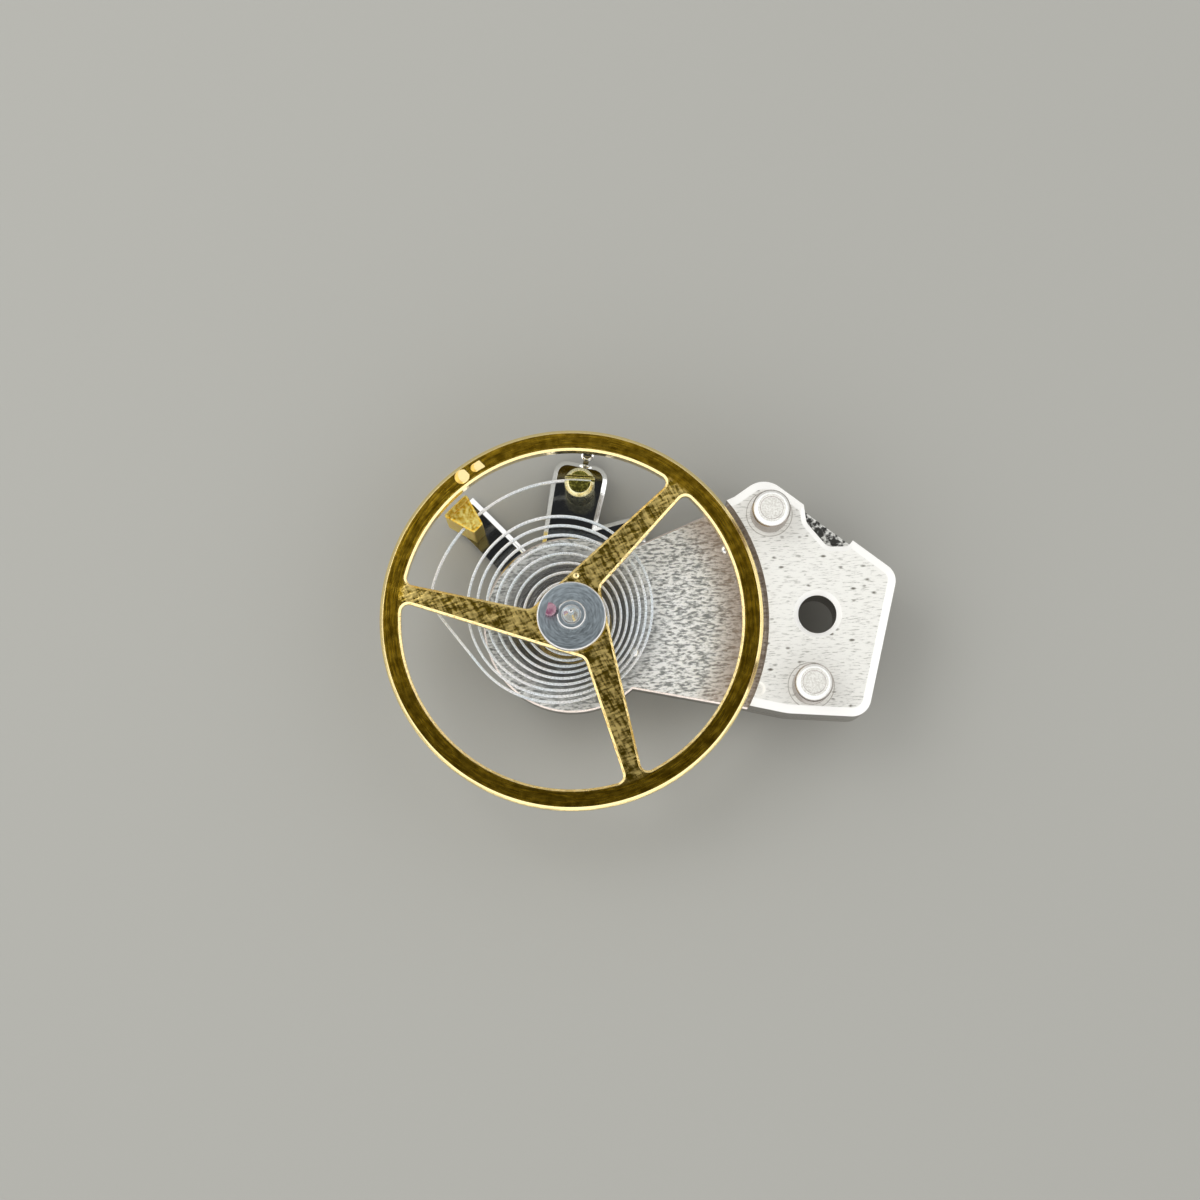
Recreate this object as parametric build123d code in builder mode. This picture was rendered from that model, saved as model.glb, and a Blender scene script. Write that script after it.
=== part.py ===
from build123d import *
from math import acos, atan2, cos, degrees, hypot, radians, sin
import os

# A balance complete on its cock, stored the way it lies on a bench: cock down, roller side up.
# The Z axis is the balance axis. The origin is the root of the lower pivot, and +Z points out of it.
# All sizes are in millimetres. A name that ends in share is a part of the size named beside it.

# Heights, counted from the cock's seat face
pivot_root_above_seat = 1.25
foot_thickness = 1.80
arm_thickness = 0.70
rim_top_above_seat = 0.15
spring_middle_below_seat = 0.68

# Balance wheel
wheel_radius = 5.00
rim_width = 0.55
rim_height = 0.50
rim_bevel = 0.09
wheel_arms = 3
wheel_arm_angle = 48.2
wheel_arm_tip_width = 0.48
wheel_arm_hub_offset = 0.90
wheel_arm_thickness = 0.28
wheel_arm_fillet = 0.20
wheel_hub_fillet = 0.25
hub_dimple_radius = 0.10
hub_dimple_depth = 0.05
hub_dimple_distance = 1.12
hub_dimple_angle = 84.0
poising_cut_depth = 0.10
poising_cut_angles = (127.6, 121.3)
poising_cut_length_shares = (0.70, 0.77)
poising_cut_width_shares = (0.66, 0.42)

# Balance staff and what sits on it
pivot_radius = 0.05
pivot_length = 0.28
pivot_tip_round = 0.02
roller_seat_radius = 0.22
roller_shoulder_radius = 0.30
rivet_radius = 0.42
rivet_height = 0.06
flange_radius = 0.62
collet_seat_radius = 0.27
upper_arbor_radius = 0.22
upper_cone_length = 0.27
upper_pivot_lead = 0.10
lower_arbor_length = 0.06
collet_gap = 0.03
collet_radius = 0.50
collet_height = 0.36
collet_slit = 0.12
collet_slit_angle = 35.0
roller_radius = 0.90
roller_thickness = 0.28
roller_bevel = 0.05
roller_above_wheel = 0.12
safety_radius = 0.375
safety_height = 0.30
safety_bevel = 0.03
crescent_radius = 0.15
crescent_distance = 0.47
impulse_angle = 166.0
impulse_distance = 0.57
impulse_radius = 0.17
impulse_flat_share = 0.45
impulse_jewel_above_roller = 0.30
impulse_jewel_below_roller = 0.06

# Hairspring
strip_thickness = 0.045
strip_height = 0.16
spring_turns = 10
coil_pitch = 0.205
coil_drift_x = -0.040
coil_drift_y = 0.046
spring_collet_gap = 0.02
regulation_radius = 3.80
stud_angle = 87.0
knee_angle = 164.0
knee_radius = 1.00
stud_tail = 0.30

# Cock: shares are of the foot's length past the recess and of its width, or of the radius that they name
foot_length = 3.39
foot_width = 6.39
recess_corner_shares = (0.829, 0.631)
foot_outline_shares = (
    (-0.023, 0.597),
    (1.000, 0.191),
    (0.748, -0.402),
    (0.133, -0.386),
    (-0.222, -0.347),
)
foot_round_shares = (0.090, 0.215, 0.139, 0.151, 0.504, 0.504)
disc_joint_shares = ((0.640, -0.723), (0.512, 0.807))
notch_shares = ((0.259, 0.561), (0.300, 0.401), (0.458, 0.301), (0.622, 0.302), (0.761, 0.401))
notch_round_share = 0.076
notch_floor_share = 0.45
disc_radius = 2.35
wheel_clearance = 0.15
seat_bevel_width = 0.22
seat_bevel_height = 0.10
arm_bevel = 0.12
notch_bevel = 0.06
back_bevel = 0.12
screw_shares = (0.375, 0.021)
screw_hole_radius = 0.50
screw_hole_bevel = 0.13
screw_head_radius = 0.95
screw_head_depth = 0.60
dimple_shares = (-0.093, -0.286)
dimple_radius = 0.22
dimple_depth = 0.05
peg_radius = 0.13
peg_height = 0.10
peg_bevel = 0.03
recess_peg_shares = (0.794, 0.391)
disc_peg_shares = (0.701, -0.320)

# Steady pins
pin_radius = 0.50
pin_stem_radius = 0.34
pin_above_seat = 0.90
pin_depth = 0.85
pin_round = 0.12
pin_recess_radius = 0.29
pin_recess_depth = 0.04
upper_pin_shares = (0.010, 0.435)
lower_pin_shares = (0.317, -0.274)

# Shock setting
block_radius = 1.05
block_inset = 0.02
block_floor = 0.18
block_door_radius = 0.30
block_cavity_radius = 0.66
block_mouth_radius = 0.84
block_lip_radius = 1.22
block_lip_height = 0.10
block_lip_gap = 0.03
block_lip_bevel = 0.03
setting_gap = 0.02
setting_radius = 0.60
setting_height = 0.44
setting_chamfer = 0.08
hole_jewel_radius = 0.36
hole_jewel_thickness = 0.14
pivot_running_clearance = 0.01
cap_jewel_radius = 0.46
cap_jewel_thickness = 0.20
cap_jewel_bevel = 0.04
jewel_gap = 0.06
pivot_end_shake = 0.01
shock_spring_gap = 0.06
shock_spring_play = 0.01
shock_spring_thickness = 0.05
shock_spring_radius = 0.78
shock_spring_width = 0.13
shock_spring_prong_width = 0.12
shock_spring_mouth_angle = 56.0
shock_spring_prong_overreach = 0.10

# Regulator, stud carrier and their rings round the shock block
ring_running_clearance = 0.04
ring_gap = 0.03
carrier_ring_radius = 1.75
carrier_thickness = 0.25
carrier_base_width = 1.30
carrier_end_width = 1.48
carrier_end_round = 0.50
carrier_end_overhang = 0.78
carrier_tongue_angle = 79.0
carrier_lean = 0.07
carrier_bevel = 0.12
carrier_ear_reach = 3.45
carrier_ear_shares = ((0.09, 0.30), (0.087, 0.778), (0.465, 0.882), (0.580, 0.700), (0.42, 0.30))
carrier_ear_round_shares = (0, 0, 0.06, 0.06, 0)
carrier_lug_radius = 0.19
carrier_lug_height = 0.20
carrier_lug_distance = 1.06
carrier_neck_width = 0.16
carrier_neck_height = 0.13
regulator_ring_radius = 1.60
regulator_thickness = 0.22
regulator_angle = 135.0
regulator_width = 0.90
regulator_lean = 0.19
regulator_overhang = 0.70
regulator_bevel = 0.08
ring_slit = 0.25

# Stud and curb key
stud_radius = 0.40
stud_above_spring = 0.20
stud_bevel = 0.06
stud_slot_play = 0.01
stud_slot_below_spring = 0.02
stud_slot_overrun = 0.50
stud_pin_radius = 0.04
stud_foot_radius = 0.26
stud_foot_below_carrier = 0.05
stud_inset = 0.06
stud_running_clearance = 0.02
key_tip_inside_circle = 0.30
key_end_outside_circle = 0.60
key_tip_width = 0.34
key_end_width = 0.84
key_slot_width = 0.13
key_above_spring = 0.14
key_slot_play = 0.05
key_lift = 0.03
key_stem_radius = 0.18
key_stem_below_arm = 0.04
key_running_clearance = 0.02
key_bevel = 0.05

# Levels worked out from the heights
seat_z = -pivot_root_above_seat
cock_back_z = seat_z - foot_thickness
arm_face_z = cock_back_z + arm_thickness
rim_top_z = seat_z + rim_top_above_seat
rim_bottom_z = rim_top_z - rim_height
wheel_arm_bottom_z = rim_top_z - wheel_arm_thickness
spring_z = seat_z - spring_middle_below_seat
collet_bottom_z = spring_z - collet_height / 2
collet_top_z = spring_z + collet_height / 2
roller_bottom_z = rim_top_z + roller_above_wheel
roller_top_z = roller_bottom_z + roller_thickness
safety_top_z = roller_top_z + safety_height
block_inner_z = arm_face_z - block_inset
setting_inner_z = block_inner_z - block_floor - setting_gap
setting_outer_z = setting_inner_z - setting_height
hole_jewel_outer_z = setting_inner_z - hole_jewel_thickness
cap_jewel_inner_z = hole_jewel_outer_z - jewel_gap
cap_jewel_outer_z = cap_jewel_inner_z - cap_jewel_thickness
pivot_tip_z = cap_jewel_inner_z + pivot_end_shake
upper_pivot_z = setting_inner_z + upper_pivot_lead
upper_cone_z = upper_pivot_z + upper_cone_length
shock_spring_inner_z = setting_outer_z - shock_spring_gap
shock_spring_outer_z = shock_spring_inner_z - shock_spring_thickness
carrier_top_z = cock_back_z - ring_gap
carrier_bottom_z = carrier_top_z - carrier_thickness
regulator_top_z = carrier_bottom_z - ring_gap
regulator_bottom_z = regulator_top_z - regulator_thickness
block_lip_z = regulator_bottom_z - block_lip_gap
block_outer_z = block_lip_z - block_lip_height
ring_bore_radius = block_radius + ring_running_clearance
wheel_inner_radius = wheel_radius - rim_width

os.makedirs("parts", exist_ok=True)


def polar(radius, angle):
    """The point at a radius and an angle in degrees."""
    return (radius * cos(radians(angle)), radius * sin(radians(angle)))


def on_foot(shares):
    """A place on the cock's foot, given as shares of its length past the recess and of its width."""
    return (step_radius + shares[0] * foot_length, shares[1] * foot_width)


def scaled(shares, size):
    """A place given as shares of one size."""
    return (shares[0] * size, shares[1] * size)


def save(part, name):
    """Labels a finished piece and writes it under its name."""
    part.label = name
    export_step(part, f"parts/{name}.step")


# Cock: a disc and an arm in one plate, with a thick foot that seats on the main plate. The foot is bevelled
# round its seat and then cut by the recess in which the wheel swings.
step_radius = wheel_radius + wheel_clearance
disc_joints = [scaled(place, disc_radius) for place in disc_joint_shares]
outline = [
    disc_joints[1],
    scaled(recess_corner_shares, step_radius),
    *[on_foot(place) for place in foot_outline_shares],
    disc_joints[0],
]
rounds = [0, *[share * foot_length for share in foot_round_shares], 0]
screw_place = on_foot(screw_shares)
dimple_place = on_foot(dimple_shares)
upper_pin_place = on_foot(upper_pin_shares)
lower_pin_place = on_foot(lower_pin_shares)
notch_outline = [on_foot(place) for place in notch_shares]
notch_floor_z = seat_z - notch_floor_share * foot_thickness
peg_places = [scaled(recess_peg_shares, step_radius), scaled(disc_peg_shares, disc_radius)]
on_base = (Align.CENTER, Align.CENTER, Align.MIN)
under_top = (Align.CENTER, Align.CENTER, Align.MAX)

with BuildPart() as foot:
    with BuildSketch(Plane.XY.offset(cock_back_z)) as plan:
        with BuildLine():
            FilletPolyline(*outline, radius=rounds, close=True)
        make_face()
    extrude(amount=foot_thickness)
    seat_face = foot.faces().sort_by(Axis.Z)[-1]
    chamfer(seat_face.edges(), length=seat_bevel_width, length2=seat_bevel_height, reference=seat_face)
    with Locations((0, 0, cock_back_z)):
        Cylinder(step_radius, foot_thickness, align=on_base, mode=Mode.SUBTRACT)

with BuildPart() as balance_cock:
    with BuildSketch(Plane.XY.offset(cock_back_z)):
        add(plan.sketch)
        Circle(disc_radius)
    extrude(amount=arm_thickness)
    chamfer(balance_cock.faces().sort_by(Axis.Z)[-1].edges(), length=arm_bevel)
    add(foot.part)
    chamfer(balance_cock.faces().sort_by(Axis.Z)[0].outer_wire().edges(), length=back_bevel)
    with BuildSketch(Plane.XY.offset(notch_floor_z)) as notch:
        with BuildLine():
            FilletPolyline(*notch_outline, radius=notch_round_share * foot_length, close=True)
        make_face()
    extrude(notch.sketch, amount=foot_thickness, mode=Mode.SUBTRACT)
    notch_walls = balance_cock.faces().filter_by(
        lambda f: abs(f.bounding_box().min.Z - notch_floor_z) < notch_bevel / 2
        and f.bounding_box().size.Z > notch_bevel
    )
    seat_edges = balance_cock.faces().sort_by(Axis.Z)[-1].outer_wire().edges()
    chamfer(seat_edges & notch_walls.edges(), length=notch_bevel)
    with Locations((*screw_place, cock_back_z)):
        Cylinder(screw_hole_radius, foot_thickness, align=on_base, mode=Mode.SUBTRACT)
        Cylinder(screw_head_radius, screw_head_depth, align=on_base, mode=Mode.SUBTRACT)
    chamfer(
        balance_cock.faces().sort_by(Axis.Z)[-1].inner_wires()[0].edges(), length=screw_hole_bevel
    )
    with Locations((*upper_pin_place, seat_z), (*lower_pin_place, seat_z)):
        Cylinder(pin_stem_radius, pin_depth, align=under_top, mode=Mode.SUBTRACT)
    with Locations((*dimple_place, seat_z)):
        Cylinder(dimple_radius, dimple_depth, align=under_top, mode=Mode.SUBTRACT)
    with Locations((0, 0, cock_back_z)):
        Cylinder(block_radius, arm_thickness, align=on_base, mode=Mode.SUBTRACT)
    with Locations(*[(*place, cock_back_z) for place in peg_places]):
        Cylinder(peg_radius, arm_thickness, align=on_base, mode=Mode.SUBTRACT)
save(balance_cock.part, "balance_cock")

# Two small pegs pressed through the arm, flush at the back
with BuildPart() as cock_pegs:
    with Locations(*[(*place, cock_back_z) for place in peg_places]):
        Cylinder(peg_radius, arm_thickness + peg_height, align=on_base)
    chamfer(cock_pegs.edges().group_by(Axis.Z)[-1], length=peg_bevel)
save(cock_pegs.part, "cock_pegs")

# Steady pins: pressed into the foot, with rounded ends and a shallow turned recess
for pin_name, pin_place in (
    ("steady_pin_upper", upper_pin_place),
    ("steady_pin_lower", lower_pin_place),
):
    with BuildPart() as steady_pin:
        with Locations((*pin_place, seat_z)):
            Cylinder(pin_radius, pin_above_seat, align=on_base)
            Cylinder(pin_stem_radius, pin_depth, align=under_top)
        fillet(steady_pin.edges().sort_by(Axis.Z)[-1], radius=pin_round)
        with Locations((*pin_place, seat_z + pin_above_seat)):
            Cylinder(pin_recess_radius, pin_recess_depth, align=under_top, mode=Mode.SUBTRACT)
    save(steady_pin.part, pin_name)

# Shock block: the turned body of the shock setting, pressed into the cock's disc
block_floor_z = block_inner_z - block_floor
block_ledge_z = shock_spring_inner_z + shock_spring_play
with BuildPart() as shock_block:
    with BuildSketch(Plane.XZ):
        Polygon(
            (block_door_radius, block_inner_z),
            (block_radius, block_inner_z),
            (block_radius, block_lip_z),
            (block_lip_radius, block_lip_z),
            (block_lip_radius, block_outer_z),
            (block_mouth_radius, block_outer_z),
            (block_mouth_radius, block_ledge_z),
            (block_cavity_radius, block_ledge_z),
            (block_cavity_radius, block_floor_z - setting_chamfer),
            (block_cavity_radius - setting_chamfer, block_floor_z),
            (block_door_radius, block_floor_z),
            align=None,
        )
    revolve(axis=Axis.Z)
    chamfer(
        shock_block.edges()
        .filter_by(GeomType.CIRCLE)
        .filter_by(lambda e: abs(e.center().Z - block_outer_z) < block_lip_bevel),
        length=block_lip_bevel,
    )
save(shock_block.part, "shock_block")

# Jewel setting: a cone-seated ring, the pierced jewel that guides the pivot and the end stone on it
with BuildPart() as jewel_setting:
    with BuildSketch(Plane.XZ):
        Polygon(
            (hole_jewel_radius, setting_inner_z),
            (setting_radius - setting_chamfer, setting_inner_z),
            (setting_radius, setting_inner_z - setting_chamfer),
            (setting_radius, setting_outer_z),
            (cap_jewel_radius, setting_outer_z),
            (cap_jewel_radius, cap_jewel_inner_z),
            (hole_jewel_radius, cap_jewel_inner_z),
            align=None,
        )
    revolve(axis=Axis.Z)
save(jewel_setting.part, "jewel_setting")

with BuildPart() as hole_jewel:
    with Locations((0, 0, hole_jewel_outer_z)):
        Cylinder(hole_jewel_radius, hole_jewel_thickness, align=on_base)
        Cylinder(
            pivot_radius + pivot_running_clearance,
            hole_jewel_thickness,
            align=on_base,
            mode=Mode.SUBTRACT,
        )
save(hole_jewel.part, "hole_jewel")

with BuildPart() as cap_jewel:
    with Locations((0, 0, cap_jewel_outer_z)):
        Cylinder(cap_jewel_radius, cap_jewel_thickness, align=on_base)
    chamfer(cap_jewel.edges().sort_by(Axis.Z)[0], length=cap_jewel_bevel)
save(cap_jewel.part, "cap_jewel")

# Lyre spring: an open flat ring with two prongs that press on the end stone
prong_y = (shock_spring_radius - shock_spring_width / 2) * sin(radians(shock_spring_mouth_angle / 2))
prong_outer_x = (shock_spring_radius - shock_spring_width / 2) * cos(radians(shock_spring_mouth_angle / 2))
with BuildPart() as lyre_spring:
    with BuildSketch(Plane.XY.offset(shock_spring_outer_z)):
        Circle(shock_spring_radius)
        Circle(shock_spring_radius - shock_spring_width, mode=Mode.SUBTRACT)
        Rectangle(
            shock_spring_radius * 2,
            prong_y * 2,
            align=(Align.MIN, Align.CENTER),
            mode=Mode.SUBTRACT,
        )
        with Locations((prong_outer_x, prong_y), (prong_outer_x, -prong_y)):
            Rectangle(
                prong_outer_x + shock_spring_prong_overreach,
                shock_spring_prong_width,
                align=(Align.MAX, Align.CENTER),
            )
        with Locations((prong_outer_x, prong_y), (prong_outer_x, -prong_y)):
            Circle(shock_spring_width / 2)
    extrude(amount=shock_spring_thickness)
save(lyre_spring.part, "lyre_spring")

# Stud carrier: a split ring round the block with a tongue for the stud, an ear beside it and a small lug
# at the end to push it by
stud_distance = regulation_radius - stud_inset
stud_place = polar(stud_distance, stud_angle)
tongue_frame = Location((*stud_place, 0), (0, 0, carrier_tongue_angle))
with BuildPart() as stud_carrier:
    with BuildSketch(Plane.XY.offset(carrier_bottom_z)):
        Circle(carrier_ring_radius)
        with BuildLine(tongue_frame * Location((0, carrier_lean, 0))):
            FilletPolyline(
                (-stud_distance, -carrier_base_width / 2),
                (carrier_ring_radius - stud_distance, -carrier_base_width / 2),
                (0, -carrier_end_width / 2),
                (carrier_end_overhang, -carrier_end_width / 2),
                (carrier_end_overhang, carrier_end_width / 2),
                (0, carrier_end_width / 2),
                (carrier_ring_radius - stud_distance, carrier_base_width / 2),
                (-stud_distance, carrier_base_width / 2),
                radius=[0, 0, 0, carrier_end_round, carrier_end_round, 0, 0, 0],
                close=True,
            )
        make_face()
        with BuildLine():
            FilletPolyline(
                *[scaled(place, carrier_ear_reach) for place in carrier_ear_shares],
                radius=[share * carrier_ear_reach for share in carrier_ear_round_shares],
                close=True,
            )
        make_face()
    extrude(amount=carrier_thickness)
    chamfer(stud_carrier.faces().sort_by(Axis.Z)[-1].outer_wire().edges(), length=carrier_bevel)
    with BuildSketch(Plane.XY.offset(carrier_bottom_z)):
        with Locations(tongue_frame):
            Rectangle(carrier_lug_distance, carrier_neck_width, align=(Align.MIN, Align.CENTER))
    extrude(amount=carrier_neck_height)
    with BuildSketch(Plane.XY.offset(carrier_bottom_z)):
        with Locations(tongue_frame):
            with Locations((carrier_lug_distance, 0)):
                Circle(carrier_lug_radius)
    extrude(amount=carrier_lug_height)
    with BuildSketch(Plane.XY.offset(carrier_bottom_z)):
        Circle(ring_bore_radius)
        with Locations(stud_place):
            Circle(stud_foot_radius + stud_running_clearance)
        with Locations(Location((0, 0, 0), (0, 0, stud_angle + 180))):
            Rectangle(wheel_radius, ring_slit, align=(Align.MIN, Align.CENTER))
    extrude(amount=carrier_thickness, mode=Mode.SUBTRACT)
save(stud_carrier.part, "stud_carrier")

# Stud: a round brass post with a foot in the tongue and an open slot for the end of the spring
stud_top_z = spring_z + stud_above_spring
slot_inner_radius = regulation_radius - strip_thickness / 2 - stud_slot_play
slot_outer_radius = regulation_radius + strip_thickness / 2 + 2 * (stud_pin_radius + stud_slot_play)
slot_bottom_z = spring_z - strip_height / 2 - stud_slot_below_spring
with BuildPart() as hairspring_stud:
    with Locations((*stud_place, carrier_top_z + ring_gap)):
        Cylinder(stud_radius, stud_top_z - carrier_top_z - ring_gap, align=on_base)
    chamfer(hairspring_stud.edges().sort_by(Axis.Z)[-1], length=stud_bevel)
    with Locations((*stud_place, carrier_bottom_z - stud_foot_below_carrier)):
        Cylinder(
            stud_foot_radius,
            carrier_top_z + ring_gap - carrier_bottom_z + stud_foot_below_carrier,
            align=on_base,
        )
    with BuildSketch(Plane.XY.offset(slot_bottom_z)):
        with Locations(Location((0, 0, 0), (0, 0, stud_angle))):
            with Locations((slot_inner_radius, 0)):
                Rectangle(
                    slot_outer_radius - slot_inner_radius,
                    stud_radius * 3,
                    align=(Align.MIN, Align.CENTER),
                )
    extrude(amount=stud_top_z - slot_bottom_z + stud_slot_overrun, mode=Mode.SUBTRACT)
save(hairspring_stud.part, "hairspring_stud")

# Stud pin: a thin pin that wedges the spring in the slot
pin_line = polar(regulation_radius + strip_thickness / 2 + stud_slot_play + stud_pin_radius, stud_angle)
with BuildPart() as stud_pin:
    with BuildSketch(
        Plane(origin=(*pin_line, spring_z), z_dir=(*polar(1, stud_angle + 90), 0))
    ):
        Circle(stud_pin_radius)
    extrude(amount=stud_radius, both=True)
save(stud_pin.part, "stud_pin")

# Regulator: a split ring round the block with an arm that carries the curb key
key_place = polar(regulation_radius, regulator_angle)
key_frame = Location((*key_place, 0), (0, 0, regulator_angle))
with BuildPart() as regulator_index:
    with BuildSketch(Plane.XY.offset(regulator_bottom_z)):
        Circle(regulator_ring_radius)
        with Locations(Location((0, 0, 0), (0, 0, regulator_angle))):
            with Locations((0, -regulator_lean)):
                Rectangle(
                    regulation_radius + regulator_overhang,
                    regulator_width,
                    align=(Align.MIN, Align.CENTER),
                )
    extrude(amount=regulator_thickness)
    chamfer(regulator_index.faces().sort_by(Axis.Z)[-1].outer_wire().edges(), length=regulator_bevel)
    with BuildSketch(Plane.XY.offset(regulator_bottom_z)):
        Circle(ring_bore_radius)
        with Locations(key_place):
            Circle(key_stem_radius + key_running_clearance)
        with Locations(Location((0, 0, 0), (0, 0, regulator_angle + 180))):
            Rectangle(wheel_radius, ring_slit, align=(Align.MIN, Align.CENTER))
    extrude(amount=regulator_thickness, mode=Mode.SUBTRACT)
save(regulator_index.part, "regulator_index")

# Curb key: a gilt wedge on a stem, with a slot through it in which the spring plays
key_bottom_z = regulator_top_z + key_lift
key_top_z = spring_z + strip_height / 2 + key_above_spring
key_slot_height = strip_height + 2 * key_slot_play
with BuildPart() as curb_key:
    with BuildSketch(Plane.XY.offset(key_bottom_z)):
        with Locations(key_frame):
            Polygon(
                (-key_tip_inside_circle, -key_tip_width / 2),
                (key_end_outside_circle, -key_end_width / 2),
                (key_end_outside_circle, key_end_width / 2),
                (-key_tip_inside_circle, key_tip_width / 2),
                align=None,
            )
    extrude(amount=key_top_z - key_bottom_z)
    chamfer(curb_key.faces().sort_by(Axis.Z)[-1].outer_wire().edges(), length=key_bevel)
    with BuildSketch(Plane.XY.offset(spring_z - key_slot_height / 2)):
        with Locations(key_frame):
            Rectangle(key_slot_width, key_end_width * 2)
    extrude(amount=key_slot_height, mode=Mode.SUBTRACT)
    with Locations((*key_place, regulator_bottom_z - key_stem_below_arm)):
        Cylinder(
            key_stem_radius,
            key_bottom_z - regulator_bottom_z + key_stem_below_arm,
            align=on_base,
        )
save(curb_key.part, "curb_key")

# Balance staff: turned from one rod, with a flange under the wheel and a rivet collar over it
cone_start_z = safety_top_z + lower_arbor_length
with BuildPart() as balance_staff:
    with BuildSketch(Plane.XZ):
        Polygon(
            (0, pivot_length),
            (pivot_radius - pivot_tip_round, pivot_length),
            (pivot_radius, pivot_length - pivot_tip_round),
            (pivot_radius, 0),
            (roller_seat_radius, cone_start_z),
            (roller_seat_radius, roller_bottom_z),
            (roller_shoulder_radius, roller_bottom_z),
            (roller_shoulder_radius, rim_top_z + rivet_height),
            (rivet_radius, rim_top_z + rivet_height),
            (rivet_radius, wheel_arm_bottom_z),
            (flange_radius, wheel_arm_bottom_z),
            (flange_radius, collet_top_z + collet_gap),
            (collet_seat_radius, collet_top_z + collet_gap),
            (collet_seat_radius, collet_bottom_z - collet_gap),
            (upper_arbor_radius, collet_bottom_z - collet_gap),
            (upper_arbor_radius, upper_cone_z),
            (pivot_radius, upper_pivot_z),
            (pivot_radius, pivot_tip_z + pivot_tip_round),
            (pivot_radius - pivot_tip_round, pivot_tip_z),
            (0, pivot_tip_z),
            align=None,
        )
    revolve(axis=Axis.Z)
save(balance_staff.part, "balance_staff")

# Collet: a split ring on the staff that holds the inner end of the spring
with BuildPart() as collet:
    with BuildSketch(Plane.XY.offset(collet_bottom_z)):
        Circle(collet_radius)
        Circle(collet_seat_radius, mode=Mode.SUBTRACT)
        with Locations(Location((0, 0, 0), (0, 0, collet_slit_angle))):
            Rectangle(collet_radius * 2, collet_slit, align=(Align.MIN, Align.CENTER), mode=Mode.SUBTRACT)
    extrude(amount=collet_height)
save(collet.part, "collet")

# Hairspring: quarter-turn arcs whose radius grows by a quarter of the pitch at each joint, with their
# middle stepping sideways, so that the coils stand a little off the axis. A straight and a knee lead the
# outer end onto the circle that the curb key and the stud share.
quarter_turns = 4 * spring_turns
first_angle = 270.0
coil_radius = collet_radius + spring_collet_gap + strip_thickness / 2
coil_x, coil_y = 0.0, 0.0
coils = []
for step in range(quarter_turns):
    start = first_angle - 90.0 * step
    coils.append((coil_x, coil_y, coil_radius, start, -90.0))
    turn_x, turn_y = polar(1, start - 90.0)
    growth = coil_pitch / 4 - (coil_drift_x * turn_x + coil_drift_y * turn_y) / 2
    coil_x, coil_y, coil_radius = coil_x - growth * turn_x, coil_y - growth * turn_y, coil_radius + growth
knee_x, knee_y = polar(regulation_radius - knee_radius, knee_angle)
lead_x, lead_y = coil_x - knee_x, coil_y - knee_y
lead_angle = (
    degrees(atan2(lead_y, lead_x))
    - degrees(acos((knee_radius - coil_radius) / hypot(lead_x, lead_y)))
) % 360.0
stud_end_angle = stud_angle - degrees(stud_tail / regulation_radius)
coils.append((coil_x, coil_y, coil_radius, first_angle, lead_angle - first_angle))
away_x, away_y = polar(1, lead_angle)
lead_start = (coil_x + coil_radius * away_x, coil_y + coil_radius * away_y)
lead_end = (knee_x + knee_radius * away_x, knee_y + knee_radius * away_y)
ends = [
    (knee_x, knee_y, knee_radius, lead_angle, knee_angle - lead_angle),
    (0.0, 0.0, regulation_radius, knee_angle, stud_end_angle - knee_angle),
]
with BuildPart() as hairspring:
    with BuildLine(Plane.XY.offset(spring_z)) as spring_line:
        for x, y, radius, start, size in coils:
            CenterArc((x, y), radius, start, size)
        Line(lead_start, lead_end)
        for x, y, radius, start, size in ends:
            CenterArc((x, y), radius, start, size)
    with BuildSketch(
        Plane(
            origin=(*polar(coils[0][2], first_angle), spring_z),
            x_dir=(0, 0, 1),
            z_dir=(*polar(1, first_angle - 90), 0),
        )
    ):
        Rectangle(strip_height, strip_thickness)
    sweep(path=spring_line.wires()[0])
save(hairspring.part, "hairspring")

# The least gap between one turn and the next, measured on points along the middle of the strip
samples_per_arc = 12
trace = []
for x, y, radius, start, size in coils + ends:
    for sample in range(samples_per_arc):
        angle = start + size * sample / samples_per_arc
        trace.append((x + radius * cos(radians(angle)), y + radius * sin(radians(angle))))
least_gap = min(
    hypot(one[0] - other[0], one[1] - other[1])
    for place, one in enumerate(trace)
    for other in trace[place + 2 * samples_per_arc :]
) - strip_thickness
print(f"hairspring: least gap between turns {least_gap:.3f} mm, last coil radius {coil_radius:.3f} mm")

# Impulse roller: a polished table with the jewel cemented in it, and the safety roller above
def impulse_shape():
    """The D of the jewel: a circle with its outer side cut flat."""
    with BuildSketch(mode=Mode.PRIVATE) as shape:
        Circle(impulse_radius)
        with Locations((impulse_radius * impulse_flat_share, 0)):
            Rectangle(impulse_radius, 2 * impulse_radius, align=(Align.MIN, Align.CENTER), mode=Mode.SUBTRACT)
    return shape.sketch


impulse_location = Location((*polar(impulse_distance, impulse_angle), 0), (0, 0, impulse_angle))
with BuildPart() as roller_table:
    with Locations((0, 0, roller_bottom_z)):
        Cylinder(roller_radius, roller_thickness, align=on_base)
    chamfer(roller_table.edges().sort_by(Axis.Z)[-1], length=roller_bevel)
    with BuildSketch(Plane.XY.offset(roller_bottom_z)):
        Circle(roller_seat_radius)
        with Locations(impulse_location):
            add(impulse_shape())
    extrude(amount=roller_thickness, mode=Mode.SUBTRACT)
save(roller_table.part, "roller_table")

with BuildPart() as impulse_jewel:
    with BuildSketch(Plane.XY.offset(roller_bottom_z - impulse_jewel_below_roller)):
        with Locations(impulse_location):
            add(impulse_shape())
    extrude(amount=impulse_jewel_below_roller + roller_thickness + impulse_jewel_above_roller)
save(impulse_jewel.part, "impulse_jewel")

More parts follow.
